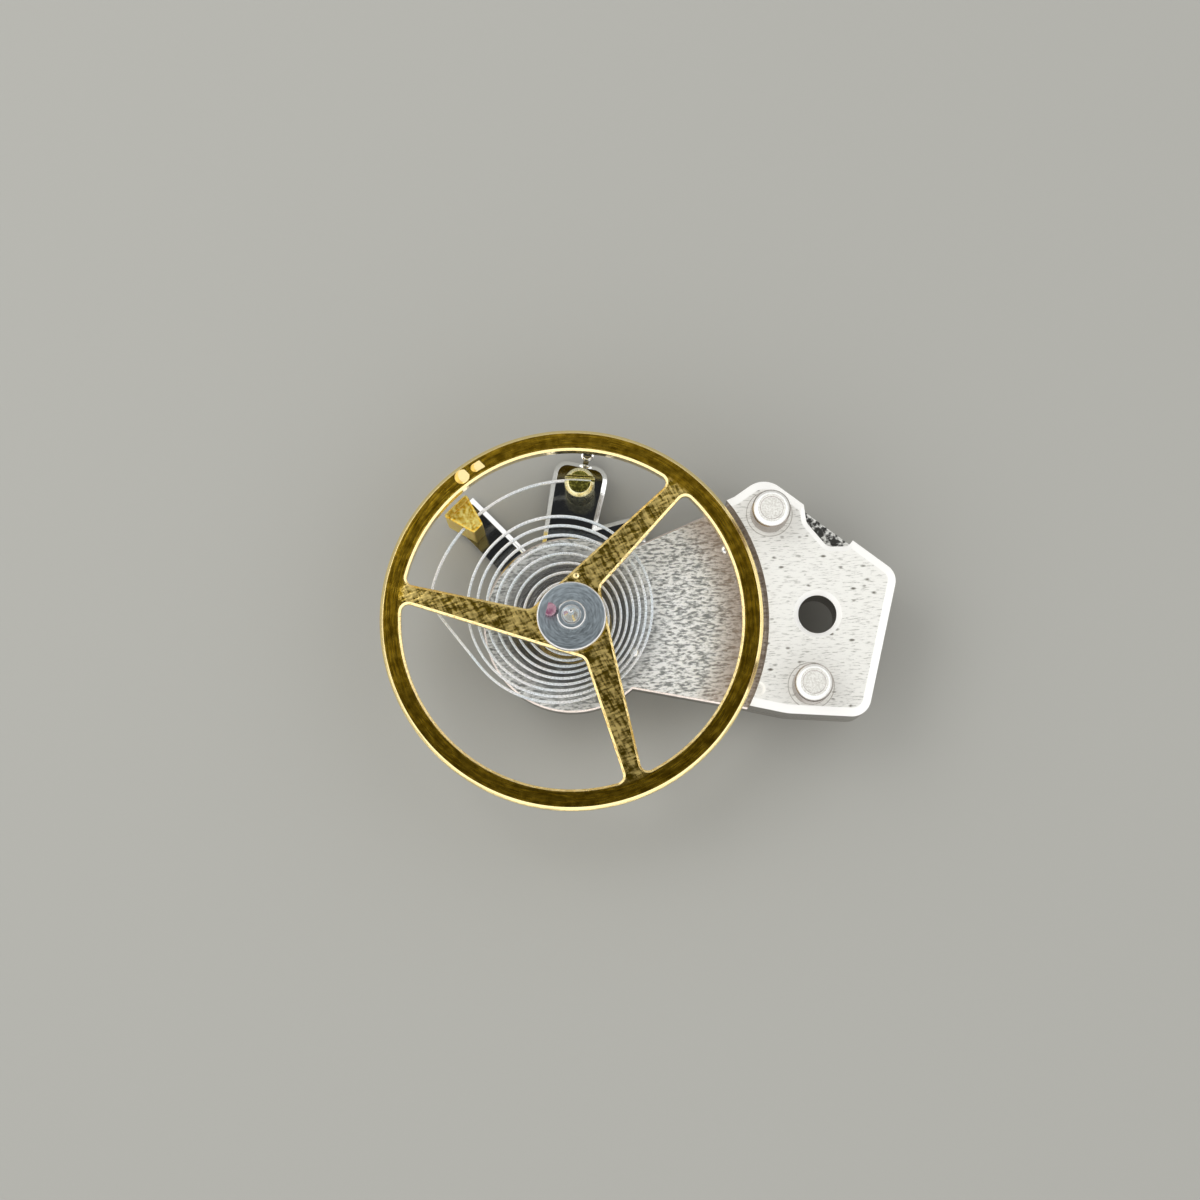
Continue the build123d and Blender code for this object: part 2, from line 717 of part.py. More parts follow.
with BuildPart() as safety_roller:
    with Locations((0, 0, roller_top_z)):
        Cylinder(safety_radius, safety_height, align=on_base)
    chamfer(safety_roller.edges().sort_by(Axis.Z)[-1], length=safety_bevel)
    with BuildSketch(Plane.XY.offset(roller_top_z)):
        Circle(roller_seat_radius)
        with Locations(polar(crescent_distance, impulse_angle)):
            Circle(crescent_radius)
    extrude(amount=safety_height, mode=Mode.SUBTRACT)
save(safety_roller.part, "safety_roller")

# Balance wheel: a turned blank with three windows, which leave tapered arms that lean like a pinwheel. One
# side of each arm is a spoke through the axis. The other touches a circle round the hub and ends on the
# next spoke.
arm_end = hypot(wheel_inner_radius, wheel_arm_tip_width)
next_spoke = 360 / wheel_arms
hub_touch_angle = degrees(atan2(wheel_arm_tip_width, wheel_inner_radius)) + degrees(
    acos(wheel_arm_hub_offset / arm_end)
)
hub_corner_distance = wheel_arm_hub_offset / cos(radians(next_spoke - hub_touch_angle))
with BuildPart() as balance_wheel:
    with BuildSketch(Plane.XY.offset(rim_bottom_z)):
        Circle(wheel_radius)
        Circle(wheel_inner_radius, mode=Mode.SUBTRACT)
    extrude(amount=rim_height)
    with BuildSketch(Plane.XY.offset(wheel_arm_bottom_z)) as web:
        Circle((wheel_radius + wheel_inner_radius) / 2)
        Circle(wheel_inner_radius, mode=Mode.SUBTRACT)
        with PolarLocations(0, wheel_arms, start_angle=wheel_arm_angle):
            Polygon(
                (0, 0),
                (wheel_inner_radius + rim_width / 4, 0),
                (wheel_inner_radius + rim_width / 4, wheel_arm_tip_width),
                (wheel_inner_radius, wheel_arm_tip_width),
                polar(hub_corner_distance, next_spoke),
                align=None,
            )
        fillet(
            web.vertices().filter_by(lambda v: abs(hypot(v.X, v.Y) - wheel_inner_radius) < rim_bevel),
            radius=wheel_arm_fillet,
        )
        fillet(
            web.vertices().filter_by(lambda v: abs(hypot(v.X, v.Y) - hub_corner_distance) < rim_bevel),
            radius=wheel_hub_fillet,
        )
    extrude(amount=wheel_arm_thickness)
    chamfer(balance_wheel.faces().sort_by(Axis.Z)[-1].edges(), length=rim_bevel)
    chamfer(balance_wheel.edges().group_by(Axis.Z)[0], length=rim_bevel)
    with Locations((0, 0, wheel_arm_bottom_z)):
        Cylinder(rivet_radius, wheel_arm_thickness, align=on_base, mode=Mode.SUBTRACT)
    with Locations((*polar(hub_dimple_distance, hub_dimple_angle), rim_top_z)):
        Cylinder(hub_dimple_radius, hub_dimple_depth, align=under_top, mode=Mode.SUBTRACT)
    with BuildSketch(Plane.XY.offset(rim_top_z)):
        for angle, length_share, width_share in zip(
            poising_cut_angles, poising_cut_length_shares, poising_cut_width_shares
        ):
            cut_place = (*polar(wheel_radius - rim_width / 2, angle), 0)
            with Locations(Location(cut_place, (0, 0, angle + 90))):
                SlotOverall(length_share * rim_width, width_share * rim_width)
    extrude(amount=-poising_cut_depth, mode=Mode.SUBTRACT)
save(balance_wheel.part, "balance_wheel")
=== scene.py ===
from math import acos, atan2, ceil, cos, degrees, dist, hypot, radians, sin, sqrt, tan

import bmesh
import bpy
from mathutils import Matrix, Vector


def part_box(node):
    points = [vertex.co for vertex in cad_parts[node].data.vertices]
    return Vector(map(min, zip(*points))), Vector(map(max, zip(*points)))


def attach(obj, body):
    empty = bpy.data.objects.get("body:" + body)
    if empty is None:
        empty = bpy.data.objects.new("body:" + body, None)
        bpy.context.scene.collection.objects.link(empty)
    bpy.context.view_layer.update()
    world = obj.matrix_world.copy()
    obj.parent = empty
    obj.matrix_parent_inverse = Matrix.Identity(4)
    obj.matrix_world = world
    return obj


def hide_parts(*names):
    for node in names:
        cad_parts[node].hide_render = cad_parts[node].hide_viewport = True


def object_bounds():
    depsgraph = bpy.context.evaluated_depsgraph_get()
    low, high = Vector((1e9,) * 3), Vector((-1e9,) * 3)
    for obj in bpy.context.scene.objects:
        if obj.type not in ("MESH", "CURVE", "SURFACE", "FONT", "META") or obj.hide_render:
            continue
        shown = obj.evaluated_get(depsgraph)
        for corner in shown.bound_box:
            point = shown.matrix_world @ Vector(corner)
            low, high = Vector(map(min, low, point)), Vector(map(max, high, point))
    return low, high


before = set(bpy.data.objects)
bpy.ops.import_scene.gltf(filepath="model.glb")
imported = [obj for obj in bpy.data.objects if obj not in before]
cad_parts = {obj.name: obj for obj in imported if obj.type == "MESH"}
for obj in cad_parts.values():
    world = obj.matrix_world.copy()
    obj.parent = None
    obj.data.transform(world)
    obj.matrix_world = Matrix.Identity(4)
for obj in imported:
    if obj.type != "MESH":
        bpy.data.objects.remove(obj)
cad_low, cad_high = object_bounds()

# Shapes are worked out in millimetres on the balance axis and written to the meshes in metres
MM = 0.001


def low(node):
    """The lowest corner of a CAD node, in millimetres."""
    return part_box(node)[0] / MM


def high(node):
    """The highest corner of a CAD node, in millimetres."""
    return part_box(node)[1] / MM


def middle(node):
    """The plan centre of a CAD node, in millimetres."""
    centre = (low(node) + high(node)) / 2
    return (centre.x, centre.y)


def levels(node):
    """The lowest and the highest level of a CAD node, in millimetres."""
    return low(node).z, high(node).z


# Levels and sizes that the frame gives
rim_bottom, rim_top = levels("balance_wheel")
wheel_radius = high("balance_wheel").x
roller_bottom, roller_top = levels("roller_table")
roller_radius = high("roller_table").x
safety_top = high("safety_roller").z
safety_radius = high("safety_roller").y
staff_tip, staff_top = levels("balance_staff")
cock_back, seat_z = levels("balance_cock")
pin_foot, pin_top = levels("steady_pin_upper")
block_back, block_front = levels("shock_block")
carrier_bottom, carrier_top = levels("stud_carrier")
regulator_bottom, regulator_top = levels("regulator_index")
stud_foot, stud_top = levels("hairspring_stud")
key_foot, key_top = levels("curb_key")
collet_bottom, collet_top = levels("collet")
spring_z = (high("hairspring").z + low("hairspring").z) / 2

# Wheel
rim_width = 0.55
rim_bevel = 0.09
window_bevel = 0.06
arm_count = 3
arm_angle = 48.2
arm_tip_width = 0.48
arm_hub_offset = 0.90
arm_bottom = rim_top - 0.28
rim_fillet = 0.20
hub_fillet = 0.25
rivet_radius = 0.42
edge_round = 0.012
poising_cuts = ((127.6, 0.40, 0.36), (121.3, 0.44, 0.23))
poising_tilt = 24.0
dimple_place = (0.117, 1.114)
dimple_radius = 0.15
dimple_depth = 0.05

# Cock
foot_length = 3.39
foot_width = 6.39
foot_root = cock_back + 0.3
foot_inset = 0.002
step_radius = wheel_radius + 0.15
disc_radius = 2.35
arm_face = cock_back + 0.70
corner_shares = (0.829, 0.631)
foot_shares = ((-0.023, 0.597), (1.000, 0.191), (0.748, -0.402), (0.133, -0.386), (-0.222, -0.347))
foot_rounds = (0, 0.305, 0.729, 0.471, 0.512, 1.709, 1.709, 0)
joint_shares = ((0.640, -0.723), (0.512, 0.807))
notch_shares = ((0.259, 0.561), (0.300, 0.401), (0.458, 0.301), (0.622, 0.302), (0.761, 0.401))
notch_round = 0.258
notch_floor = seat_z - 0.81
notch_bevel = (0.12, 0.10)
seat_bevel = (0.22, 0.10)
arm_bevel = (0.05, 0.05)
back_bevel = (0.12, 0.12)
screw_place = (6.421, 0.134)
screw_radius = 0.50
screw_bevel = 0.13
head_radius = 0.95
head_depth = 0.60
mark_place = (4.835, -1.828)
mark_radius = 0.22
mark_floor = (0.14, 0.045)
mark_depth = 0.05
peg_radius = 0.13
peg_dome_share = 0.7
peg_on_step = (0.794, 0.391)
peg_on_disc = (0.701, -0.320)
pin_stem_radius = 0.34
pin_mark_radius = 0.60

# Hairspring
strip_thickness = 0.045
strip_swell = 0.010
strip_height = 0.16
strip_round = 0.018
spring_turns = 10
coil_pitch = 0.205
coil_drift = (-0.040, 0.046)
collet_radius = 0.50
collet_gap = 0.02
spring_start = collet_radius + collet_gap + strip_thickness / 2
outer_coil = 3.80
knee_angle = 164.0
knee_radius = 1.00
stud_tail = 0.30

# Rollers and staff
seat_radius = 0.22
roller_bevel = 0.03
roller_edge = 0.02
safety_bevel = 0.03
impulse_angle = 166.0
impulse_distance = 0.57
impulse_radius = 0.17
impulse_flat = 0.45 * impulse_radius
impulse_play = 0.004
crescent_distance = 0.47
crescent_radius = 0.15
pivot_radius = 0.05

# Shock block, stud carrier, regulator, stud and curb key
block_radius = 1.05
bore_radius = block_radius + 0.04
ring_slit = 0.25
carrier_ring = 1.75
carrier_bevel = (0.12, 0.12)
regulator_ring = 1.60
regulator_bevel = (0.08, 0.08)
lever_angle = 135.0
lever_bevel = (0.14, 0.10)
lever_start = 0.3
lever_end = outer_coil + 0.70
lever_half = 0.45
lever_lean = 0.19
stud_angle = 87.0
stud_distance = outer_coil - 0.06
stud_radius = 0.40
stud_edge = 0.10
stud_foot_radius = 0.26
stud_hole_radius = 0.28
stud_slot_half = 0.6
tongue_angle = 79.0
tongue_back = carrier_ring - stud_distance
tongue_outline = (
    (-3.4, -0.58), (tongue_back, -0.58), (0, -0.67), (0.78, -0.67),
    (0.78, 0.81), (0, 0.81), (tongue_back, 0.72), (-3.4, 0.72),
)
ear_outline = ((0.31, 1.035), (0.30, 2.684), (1.604, 3.043), (2.001, 2.415), (1.449, 1.035))
lug_distance = 1.06
lug_radius = 0.19
lug_height = 0.20
lug_bevel = 0.06
neck_half = 0.08
neck_height = 0.13
key_shape = (-0.30, 0.60, 0.17, 0.42)
key_corner = 0.06
key_bevel = (0.045, 0.045)
key_stem_radius = 0.18
key_hole_radius = 0.20
key_slot = 0.13
cut_depth = 0.05
groove_ends = (0.40, 0.44)
dot_place = (-0.16, 0.02)
dot_radius = 0.05

STEADY_PINS = ("steady_pin_upper", "steady_pin_lower")

# Round pieces have this many sides
SIDES = 160
FINE_SIDES = 360

# How far cutters stand out of a piece, and half the length of one that crosses the curb key
OVER = 0.05
ACROSS = 0.8


def polar(radius, angle):
    """The point at a radius and an angle in degrees."""
    return (radius * cos(radians(angle)), radius * sin(radians(angle)))


def turned(point, angle, centre=(0, 0)):
    """A plan point turned by an angle in degrees and moved to a centre."""
    c, s = cos(radians(angle)), sin(radians(angle))
    return (centre[0] + c * point[0] - s * point[1], centre[1] + s * point[0] + c * point[1])


def scaled(shares, size):
    """A place given as shares of one size."""
    return (shares[0] * size, shares[1] * size)


def on_foot(shares):
    """A place on the cock's foot, given as shares of its length past the recess and of its width."""
    return (step_radius + shares[0] * foot_length, shares[1] * foot_width)


def arc(centre, radius, start, size, step=4.0):
    """Points on an arc: start and size are in degrees."""
    count = max(2, ceil(abs(size) / step))
    return [turned((radius, 0), start + size * k / count, centre) for k in range(count + 1)]


def short_arc(centre, first, last, step=6.0):
    """Points on the shorter arc about a centre from one point to another."""
    start = degrees(atan2(first[1] - centre[1], first[0] - centre[0]))
    end = degrees(atan2(last[1] - centre[1], last[0] - centre[0]))
    size = (end - start + 180.0) % 360.0 - 180.0
    return arc(centre, dist(first, centre), start, size, step)


def soften(points, radii, closed=True, step=12.0):
    """A chain of points with its corners rounded."""
    result = []
    count = len(points)
    for place, point in enumerate(points):
        radius = radii[place] if isinstance(radii, (list, tuple)) else radii
        here = Vector(point)
        back = Vector(points[place - 1]) - here
        ahead = Vector(points[(place + 1) % count]) - here
        at_end = not closed and place in (0, count - 1)
        if radius <= 0 or at_end or back.angle(ahead) > radians(176):
            result.append(tuple(point))
            continue
        half = back.angle(ahead) / 2
        reach = min(radius / tan(half), 0.49 * back.length, 0.49 * ahead.length)
        centre = here + (back.normalized() + ahead.normalized()).normalized() * reach / cos(half)
        result += short_arc(centre, here + back.normalized() * reach, here + ahead.normalized() * reach, step)
    return result


def inset(loop, distance):
    """A closed counterclockwise loop moved inwards by a distance."""
    result = []
    count = len(loop)
    for place in range(count):
        back = Vector(loop[place]) - Vector(loop[place - 1])
        ahead = Vector(loop[(place + 1) % count]) - Vector(loop[place])
        one = Vector((-back.y, back.x)).normalized()
        two = Vector((-ahead.y, ahead.x)).normalized()
        both = (one + two).normalized()
        result.append(tuple(Vector(loop[place]) + both * distance / max(0.3, both.dot(one))))
    return result


def tidy_loop(loop, least=0.0005):
    """A closed loop without doubled points, counterclockwise."""
    result = []
    for point in loop:
        if not result or dist(point, result[-1]) > least:
            result.append(point)
    if dist(result[0], result[-1]) <= least:
        result.pop()
    area = sum(one[0] * two[1] - two[0] * one[1] for one, two in zip(result, result[1:] + result[:1]))
    return result if area > 0 else result[::-1]


def add_object(name, mesh):
    """An object in the scene that holds a mesh."""
    made = bpy.data.objects.new(name, mesh)
    bpy.context.scene.collection.objects.link(made)
    return made


def as_object(name, points, faces):
    """A mesh object made of points in millimetres, with its normals outwards."""
    mesh = bpy.data.meshes.new(name)
    mesh.from_pydata([tuple(c * MM for c in point) for point in points], [], faces)
    shape = bmesh.new()
    shape.from_mesh(mesh)
    bmesh.ops.recalc_face_normals(shape, faces=shape.faces)
    shape.to_mesh(mesh)
    shape.free()
    return add_object(name, mesh)


def lathe(name, profile, centres=((0, 0),), sides=SIDES):
    """A turned piece at each centre. The profile is a chain of (radius, z). It is open where it ends on the
    axis, else closed."""
    points, faces = [], []
    for centre in centres:
        rings = []
        for radius, z in profile:
            first = len(points)
            if radius == 0:
                rings.append([first] * sides)
                points.append((*centre, z))
            else:
                rings.append(list(range(first, first + sides)))
                points += [(*turned((radius, 0), 360 * k / sides, centre), z) for k in range(sides)]
        closed = profile[0][0] > 0
        for one, two in zip(rings, rings[1:] + rings[: 1 if closed else 0]):
            for k in range(sides):
                corners = [one[k], two[k], two[(k + 1) % sides], one[(k + 1) % sides]]
                faces.append(list(dict.fromkeys(corners)))
    return as_object(name, points, faces)


def drill(radius, bottom, top, centres=((0, 0),), sides=SIDES):
    """A cutter for round holes."""
    return lathe("drill", [(0, bottom), (radius, bottom), (radius, top), (0, top)], centres, sides)


def skin(name, points, count):
    """A solid over closed loops of count points each, with a flat end on the first loop and on the last."""
    faces = [list(range(count))[::-1], [len(points) - count + k for k in range(count)]]
    for first in range(0, len(points) - count, count):
        for k in range(count):
            one, two = first + k, first + (k + 1) % count
            faces.append([one, two, two + count, one + count])
    return as_object(name, points, faces)


def stack(name, rings):
    """A solid between loops of as many points each, given from the lowest to the highest as (loop, z)."""
    return skin(name, [(x, y, z) for loop, z in rings for x, y in loop], len(rings[0][0]))


def slab(name, loop, bottom, top, bevel_top=(0, 0), bevel_bottom=(0, 0)):
    """A plate with an outline. A bevel is (how far in, how far down or up)."""
    loop = tidy_loop(loop)
    rings = [(loop, bottom + bevel_bottom[1]), (loop, top - bevel_top[1])]
    if bevel_bottom[0]:
        rings.insert(0, (inset(loop, bevel_bottom[0]), bottom))
    if bevel_top[0]:
        rings.append((inset(loop, bevel_top[0]), top))
    return stack(name, rings)


def combine(target, others, operation="DIFFERENCE"):
    """Cuts the others out of the target, or unites them with it, and removes them."""
    for other in others:
        step = target.modifiers.new("step", "BOOLEAN")
        step.operation = operation
        step.solver = "EXACT"
        step.object = other
    graph = bpy.context.evaluated_depsgraph_get()
    graph.update()
    made = bpy.data.meshes.new_from_object(target.evaluated_get(graph), depsgraph=graph)
    target.modifiers.clear()
    target.data = made
    for other in others:
        bpy.data.objects.remove(other)
    return target


def smooth(made, angle=20.0):
    """Smooth shading with crisp edges, and flat faces that stay flat beside small rounds."""
    mesh = made.data
    shape = bmesh.new()
    shape.from_mesh(mesh)
    bmesh.ops.remove_doubles(shape, verts=shape.verts, dist=0.0002 * MM)
    bmesh.ops.dissolve_degenerate(shape, edges=shape.edges, dist=0.0002 * MM)
    bmesh.ops.triangulate(shape, faces=[face for face in shape.faces if len(face.verts) > 4])
    for face in shape.faces:
        face.smooth = True
    for edge in shape.edges:
        edge.smooth = len(edge.link_faces) == 2 and edge.calc_face_angle(0) < radians(angle)
    shape.to_mesh(mesh)
    shape.free()
    weighting = made.modifiers.new("weighting", "WEIGHTED_NORMAL")
    weighting.keep_sharp = True
    graph = bpy.context.evaluated_depsgraph_get()
    graph.update()
    made.data = bpy.data.meshes.new_from_object(made.evaluated_get(graph), depsgraph=graph)
    made.modifiers.clear()


def finish(made, body, slot, material, *nodes):
    """Gives a piece its shading, its material, its body and the CAD nodes that it stands for. The slot is not
    used.
    """
    smooth(made)
    made.data.materials.clear()
    made.data.materials.append(material)
    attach(made, body)
    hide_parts(*nodes)


# Materials: every one is procedural, in object coordinates
class Nodes:
    """A short way to write a material's nodes."""

    def __init__(self, name, colour, roughness, metallic=1.0):
        self.material = bpy.data.materials.new(name)
        self.material.use_nodes = True
        self.tree = self.material.node_tree
        self.inputs = self.tree.nodes["Principled BSDF"].inputs
        self.place = self.tree.nodes.new("ShaderNodeTexCoord").outputs["Object"]
        self.set("Base Color", colour)
        self.set("Roughness", roughness)
        self.set("Metallic", metallic)

    def set(self, name, value):
        """Sets one of the shader's own inputs."""
        self.put(self.inputs[name], value)

    def put(self, socket, value):
        """Links a socket or sets a value."""
        if isinstance(value, bpy.types.NodeSocket):
            self.tree.links.new(value, socket)
        elif socket.type == "RGBA":
            socket.default_value = (*value, 1)
        else:
            socket.default_value = value

    def add(self, kind, settings=None, **inputs):
        """A node of a kind, with its settings, and with values or sockets on its inputs."""
        node = self.tree.nodes.new("ShaderNode" + kind)
        for key, value in (settings or {}).items():
            setattr(node, key, value)
        for key, value in inputs.items():
            self.put(node.inputs[key.replace("_", " ")], value)
        return node

    def noise(self, size, detail=3.0, roughness=0.55):
        """Noise whose grains are about size millimetres."""
        scale = 1 / (size * MM)
        node = self.add("TexNoise", Vector=self.place, Scale=scale, Detail=detail, Roughness=roughness)
        return node.outputs["Fac"]

    def streaks(self, turn, width, length, detail=2.0):
        """Long thin marks that run at an angle in degrees to the X axis."""
        size = (length * MM, width * MM, length * MM)
        place = self.add("Mapping", {"vector_type": "TEXTURE"}, Vector=self.place, Scale=size)
        place.inputs["Rotation"].default_value = (0, 0, radians(turn))
        node = self.add("TexNoise", Vector=place.outputs[0], Scale=1.0, Detail=detail, Roughness=0.6)
        return node.outputs["Fac"]

    def around(self, width, length, detail=2.0):
        """Thin marks that run round the balance axis."""
        unit = self.vector("NORMALIZE", self.outwards()).outputs[0]
        spread = self.vector("SCALE", unit, Scale=wheel_radius / length).outputs[0]
        rise = self.add("CombineXYZ", Z=self.times(self.distance(), 1 / (width * MM)))
        both = self.vector("ADD", spread, rise.outputs[0]).outputs[0]
        node = self.add("TexNoise", Vector=both, Scale=1.0, Detail=detail, Roughness=0.6)
        return node.outputs["Fac"]

    def spots(self, size, least, most):
        """Flat oval spots: 1 in their middles and 0 between them."""
        scale = (0.5 / (size * MM), 1 / (size * MM), 1 / (size * MM))
        place = self.add("Mapping", Vector=self.place, Scale=scale)
        node = self.add("TexVoronoi", Vector=place.outputs[0], Scale=1.0)
        return self.scaled(node.outputs["Distance"], least, most, 1, 0)

    def scaled(self, value, from_low, from_high, to_low, to_high):
        """A value mapped from one range to another, clamped."""
        ends = {"From Min": from_low, "From Max": from_high, "To Min": to_low, "To Max": to_high}
        return self.add("MapRange", Value=value, **ends).outputs[0]

    def maths(self, operation, one, two=0.0):
        """A maths node."""
        node = self.add("Math", {"operation": operation})
        self.put(node.inputs[0], one)
        self.put(node.inputs[1], two)
        return node.outputs[0]

    def times(self, one, two):
        """A product."""
        return self.maths("MULTIPLY", one, two)

    def vector(self, operation, *values, **inputs):
        """A vector maths node, with values or sockets on its first inputs."""
        node = self.add("VectorMath", {"operation": operation}, **inputs)
        for socket, value in zip(node.inputs, values):
            self.put(socket, value)
        return node

    def between(self, factor, one, two):
        """A number mixed from two others."""
        node = self.add("Mix", Factor=factor)
        self.put(node.inputs[2], one)
        self.put(node.inputs[3], two)
        return node.outputs[0]

    def mix(self, factor, one, two):
        """A colour mix."""
        node = self.add("Mix", {"data_type": "RGBA"}, Factor=factor)
        self.put(node.inputs[6], one)
        self.put(node.inputs[7], two)
        return node.outputs[2]

    def bump(self, height, distance, edge=0.0):
        """Sets a bump, with its full height and the radius that rounds the edges in millimetres."""
        node = self.add("Bump", Height=height, Distance=distance * MM, Strength=1.0)
        if edge:
            self.put(node.inputs["Normal"], self.add("Bevel", {"samples": 4}, Radius=edge * MM).outputs[0])
        self.set("Normal", node.outputs[0])

    def upward(self, least, most):
        """How flat a face lies: 0 where its normal's height is below the least, and 1 above the most."""
        normal = self.add("NewGeometry").outputs["True Normal"]
        rise = self.add("SeparateXYZ", Vector=normal).outputs["Z"]
        return self.scaled(self.maths("ABSOLUTE", rise), least, most, 0, 1)

    def flatness(self):
        """1 on faces that lie flat and 0 on bevels and walls."""
        return self.upward(0.96, 0.99)

    def height(self):
        """The height on the balance axis, in metres."""
        return self.add("SeparateXYZ", Vector=self.place).outputs["Z"]

    def outwards(self, centre=(0, 0)):
        """The level way from the balance axis, or from one beside it, in metres."""
        shift = (-centre[0] * MM, -centre[1] * MM, 0)
        return self.vector("MULTIPLY_ADD", self.place, (1, 1, 0), shift).outputs[0]

    def distance(self, centre=(0, 0)):
        """The distance from the balance axis, or from one beside it, in metres."""
        return self.vector("LENGTH", self.outwards(centre)).outputs["Value"]


def gilt_wheel():
    """Gold of the wheel: arms brushed crosswise, rim brushed round, bevels polished and painted a paler gold
    as a highlight.
    """
    made = Nodes("gilt_wheel", (0.80, 0.55, 0.14), 0.2)
    inner = wheel_radius - rim_width
    rim = made.scaled(made.distance(), (inner - 0.03) * MM, (inner + 0.10) * MM, 0, 1)
    flat = made.flatness()
    crossed = made.maths("ADD", made.streaks(118, 0.09, 0.42), made.streaks(20, 0.08, 0.30))
    rings = made.around(0.06, 0.7)
    blotch = made.scaled(made.noise(0.22, 3), 0.38, 0.62, 0, 1)
    arms = made.mix(made.scaled(crossed, 0.85, 1.15, 0, 1), (0.37, 0.245, 0.018), (1.0, 0.76, 0.26))
    band = made.mix(blotch, (0.30, 0.175, 0.008), (0.54, 0.335, 0.024))
    faces = made.mix(rim, arms, band)
    # Bevels and walls get a paler gold than the faces: a painted highlight.
    made.set("Base Color", made.mix(flat, (0.96, 0.78, 0.38), faces))
    satin = made.scaled(crossed, 0.8, 1.2, 0.20, 0.36)
    satin = made.between(rim, satin, made.scaled(rings, 0.35, 0.65, 0.20, 0.30))
    made.set("Roughness", made.times(satin, made.scaled(flat, 0, 1, 0.7, 1)))
    marks = made.between(rim, made.times(crossed, 1.3), made.times(rings, 0.5))
    made.bump(marks, 0.007, 0.010)
    return made.material


def nickel():
    """Nickel of the cock: white satin seat with pits and a painted dark ring of shade round each pin,
    blotched notch floor, rippled recess with a painted tan reflection of the gold rim towards its wall,
    turned disc darkened partly as painted shade under the spring, and walls painted dark as shade."""
    made = Nodes("nickel", (0.88, 0.87, 0.82), 0.4)
    flat = made.flatness()
    level = made.height()
    raised = made.scaled(level, (seat_z - 0.20) * MM, (seat_z - 0.12) * MM, 0, 1)
    above_notch = made.scaled(level, (notch_floor - 0.1) * MM, (notch_floor - 0.01) * MM, 0, 1)
    pocket = made.times(above_notch, made.maths("SUBTRACT", 1.0, raised))
    disc = made.scaled(made.distance(), 1.5 * MM, disc_radius * MM, 1, 0)
    # Tan towards the recess wall is a painted reflection of the gold rim.
    painted_rim_reflection = made.scaled(made.distance(), 3.7 * MM, 4.4 * MM, 0, 0.55)
    seat = made.times(flat, raised)
    ripple = made.streaks(3, 0.055, 0.16, 4)
    lines = made.streaks(2, 0.03, 0.20, 3)
    grain = made.noise(0.05, 3)
    patches = made.scaled(made.noise(0.6, 2), 0.47, 0.55, 0, 1)
    pits = made.times(made.spots(0.20, 0.10, 0.24), patches)
    low_part = made.mix(made.scaled(ripple, 0.40, 0.56, 0, 1), (0.26, 0.27, 0.26), (1.0, 1.0, 0.98))
    # The disc is darker than the recess: partly its turned finish, and partly painted shade under the
    # spring's coils.
    low_part = made.mix(disc, low_part, (0.36, 0.355, 0.34))
    low_part = made.mix(painted_rim_reflection, low_part, (0.50, 0.34, 0.22))
    high_part = made.mix(made.scaled(lines, 0.32, 0.46, 0, 1), (0.50, 0.49, 0.44), (0.96, 0.95, 0.89))
    blots = made.scaled(made.noise(0.16, 3), 0.46, 0.56, 0, 1)
    rough_part = made.mix(blots, (0.05, 0.05, 0.045), (0.95, 0.95, 0.90))
    faces = made.mix(raised, made.mix(pocket, low_part, rough_part), high_part)
    faces = made.mix(made.times(pits, seat), faces, (0.14, 0.13, 0.10))
    # A dark line round each pin is painted shade where a groove round the pin would be.
    for pin in STEADY_PINS:
        beside = made.maths("SUBTRACT", made.distance(middle(pin)), pin_mark_radius * MM)
        ring = made.scaled(made.maths("ABSOLUTE", beside), 0.004 * MM, 0.016 * MM, 0.7, 0)
        faces = made.mix(made.times(ring, seat), faces, (0.30, 0.27, 0.22))
    edges = made.mix(raised, (0.72, 0.64, 0.58), (0.97, 0.96, 0.92))
    # Walls get a darker colour as painted shade.
    sides = made.mix(made.upward(0.45, 0.60), (0.38, 0.36, 0.33), edges)
    made.set("Base Color", made.mix(flat, sides, faces))
    satin = made.times(made.upward(0.45, 0.60), raised)
    matt = made.times(flat, made.scaled(disc, 0, 1, 0.70, 0))
    made.set("Metallic", made.scaled(made.maths("MAXIMUM", satin, matt), 0, 1, 1, 0.25))
    plain = made.times(flat, made.scaled(disc, 0, 1, 0.44, 0.24))
    made.set("Roughness", made.maths("MAXIMUM", plain, made.scaled(satin, 0, 1, 0.20, 0.45)))
    turning = made.times(made.around(0.05, 3.0), made.scaled(disc, 0, 1, 0, 0.5))
    calm = made.maths("MAXIMUM", raised, disc)
    ripples = made.times(ripple, made.scaled(calm, 0, 1, 2.2, 0.15))
    height = made.maths("ADD", made.maths("ADD", ripples, turning), made.times(grain, 0.15))
    height = made.maths("SUBTRACT", height, made.times(pits, 0.5))
    made.bump(made.times(height, made.scaled(flat, 0, 1, 0.15, 1)), 0.022, 0.02)
    return made.material


def polish_with_painted_light():
    """Polished steel with faint hair lines, its flat faces painted dark as a reflection of darkness and its
    bevels painted pale as a highlight.
    """
    made = Nodes("polish_with_painted_light", (0.60, 0.61, 0.63), 0.07)
    lines = made.streaks(35, 0.012, 1.2)
    flat = made.flatness()
    # Flat faces get a dark colour as painted dark reflection, bevels a pale one as painted highlight.
    made.set("Base Color", made.mix(flat, (0.90, 0.90, 0.88), (0.24, 0.25, 0.26)))
    made.set("Roughness", made.scaled(lines, 0.4, 0.7, 0.06, 0.16))
    made.bump(lines, 0.0004, 0.012)
    return made.material


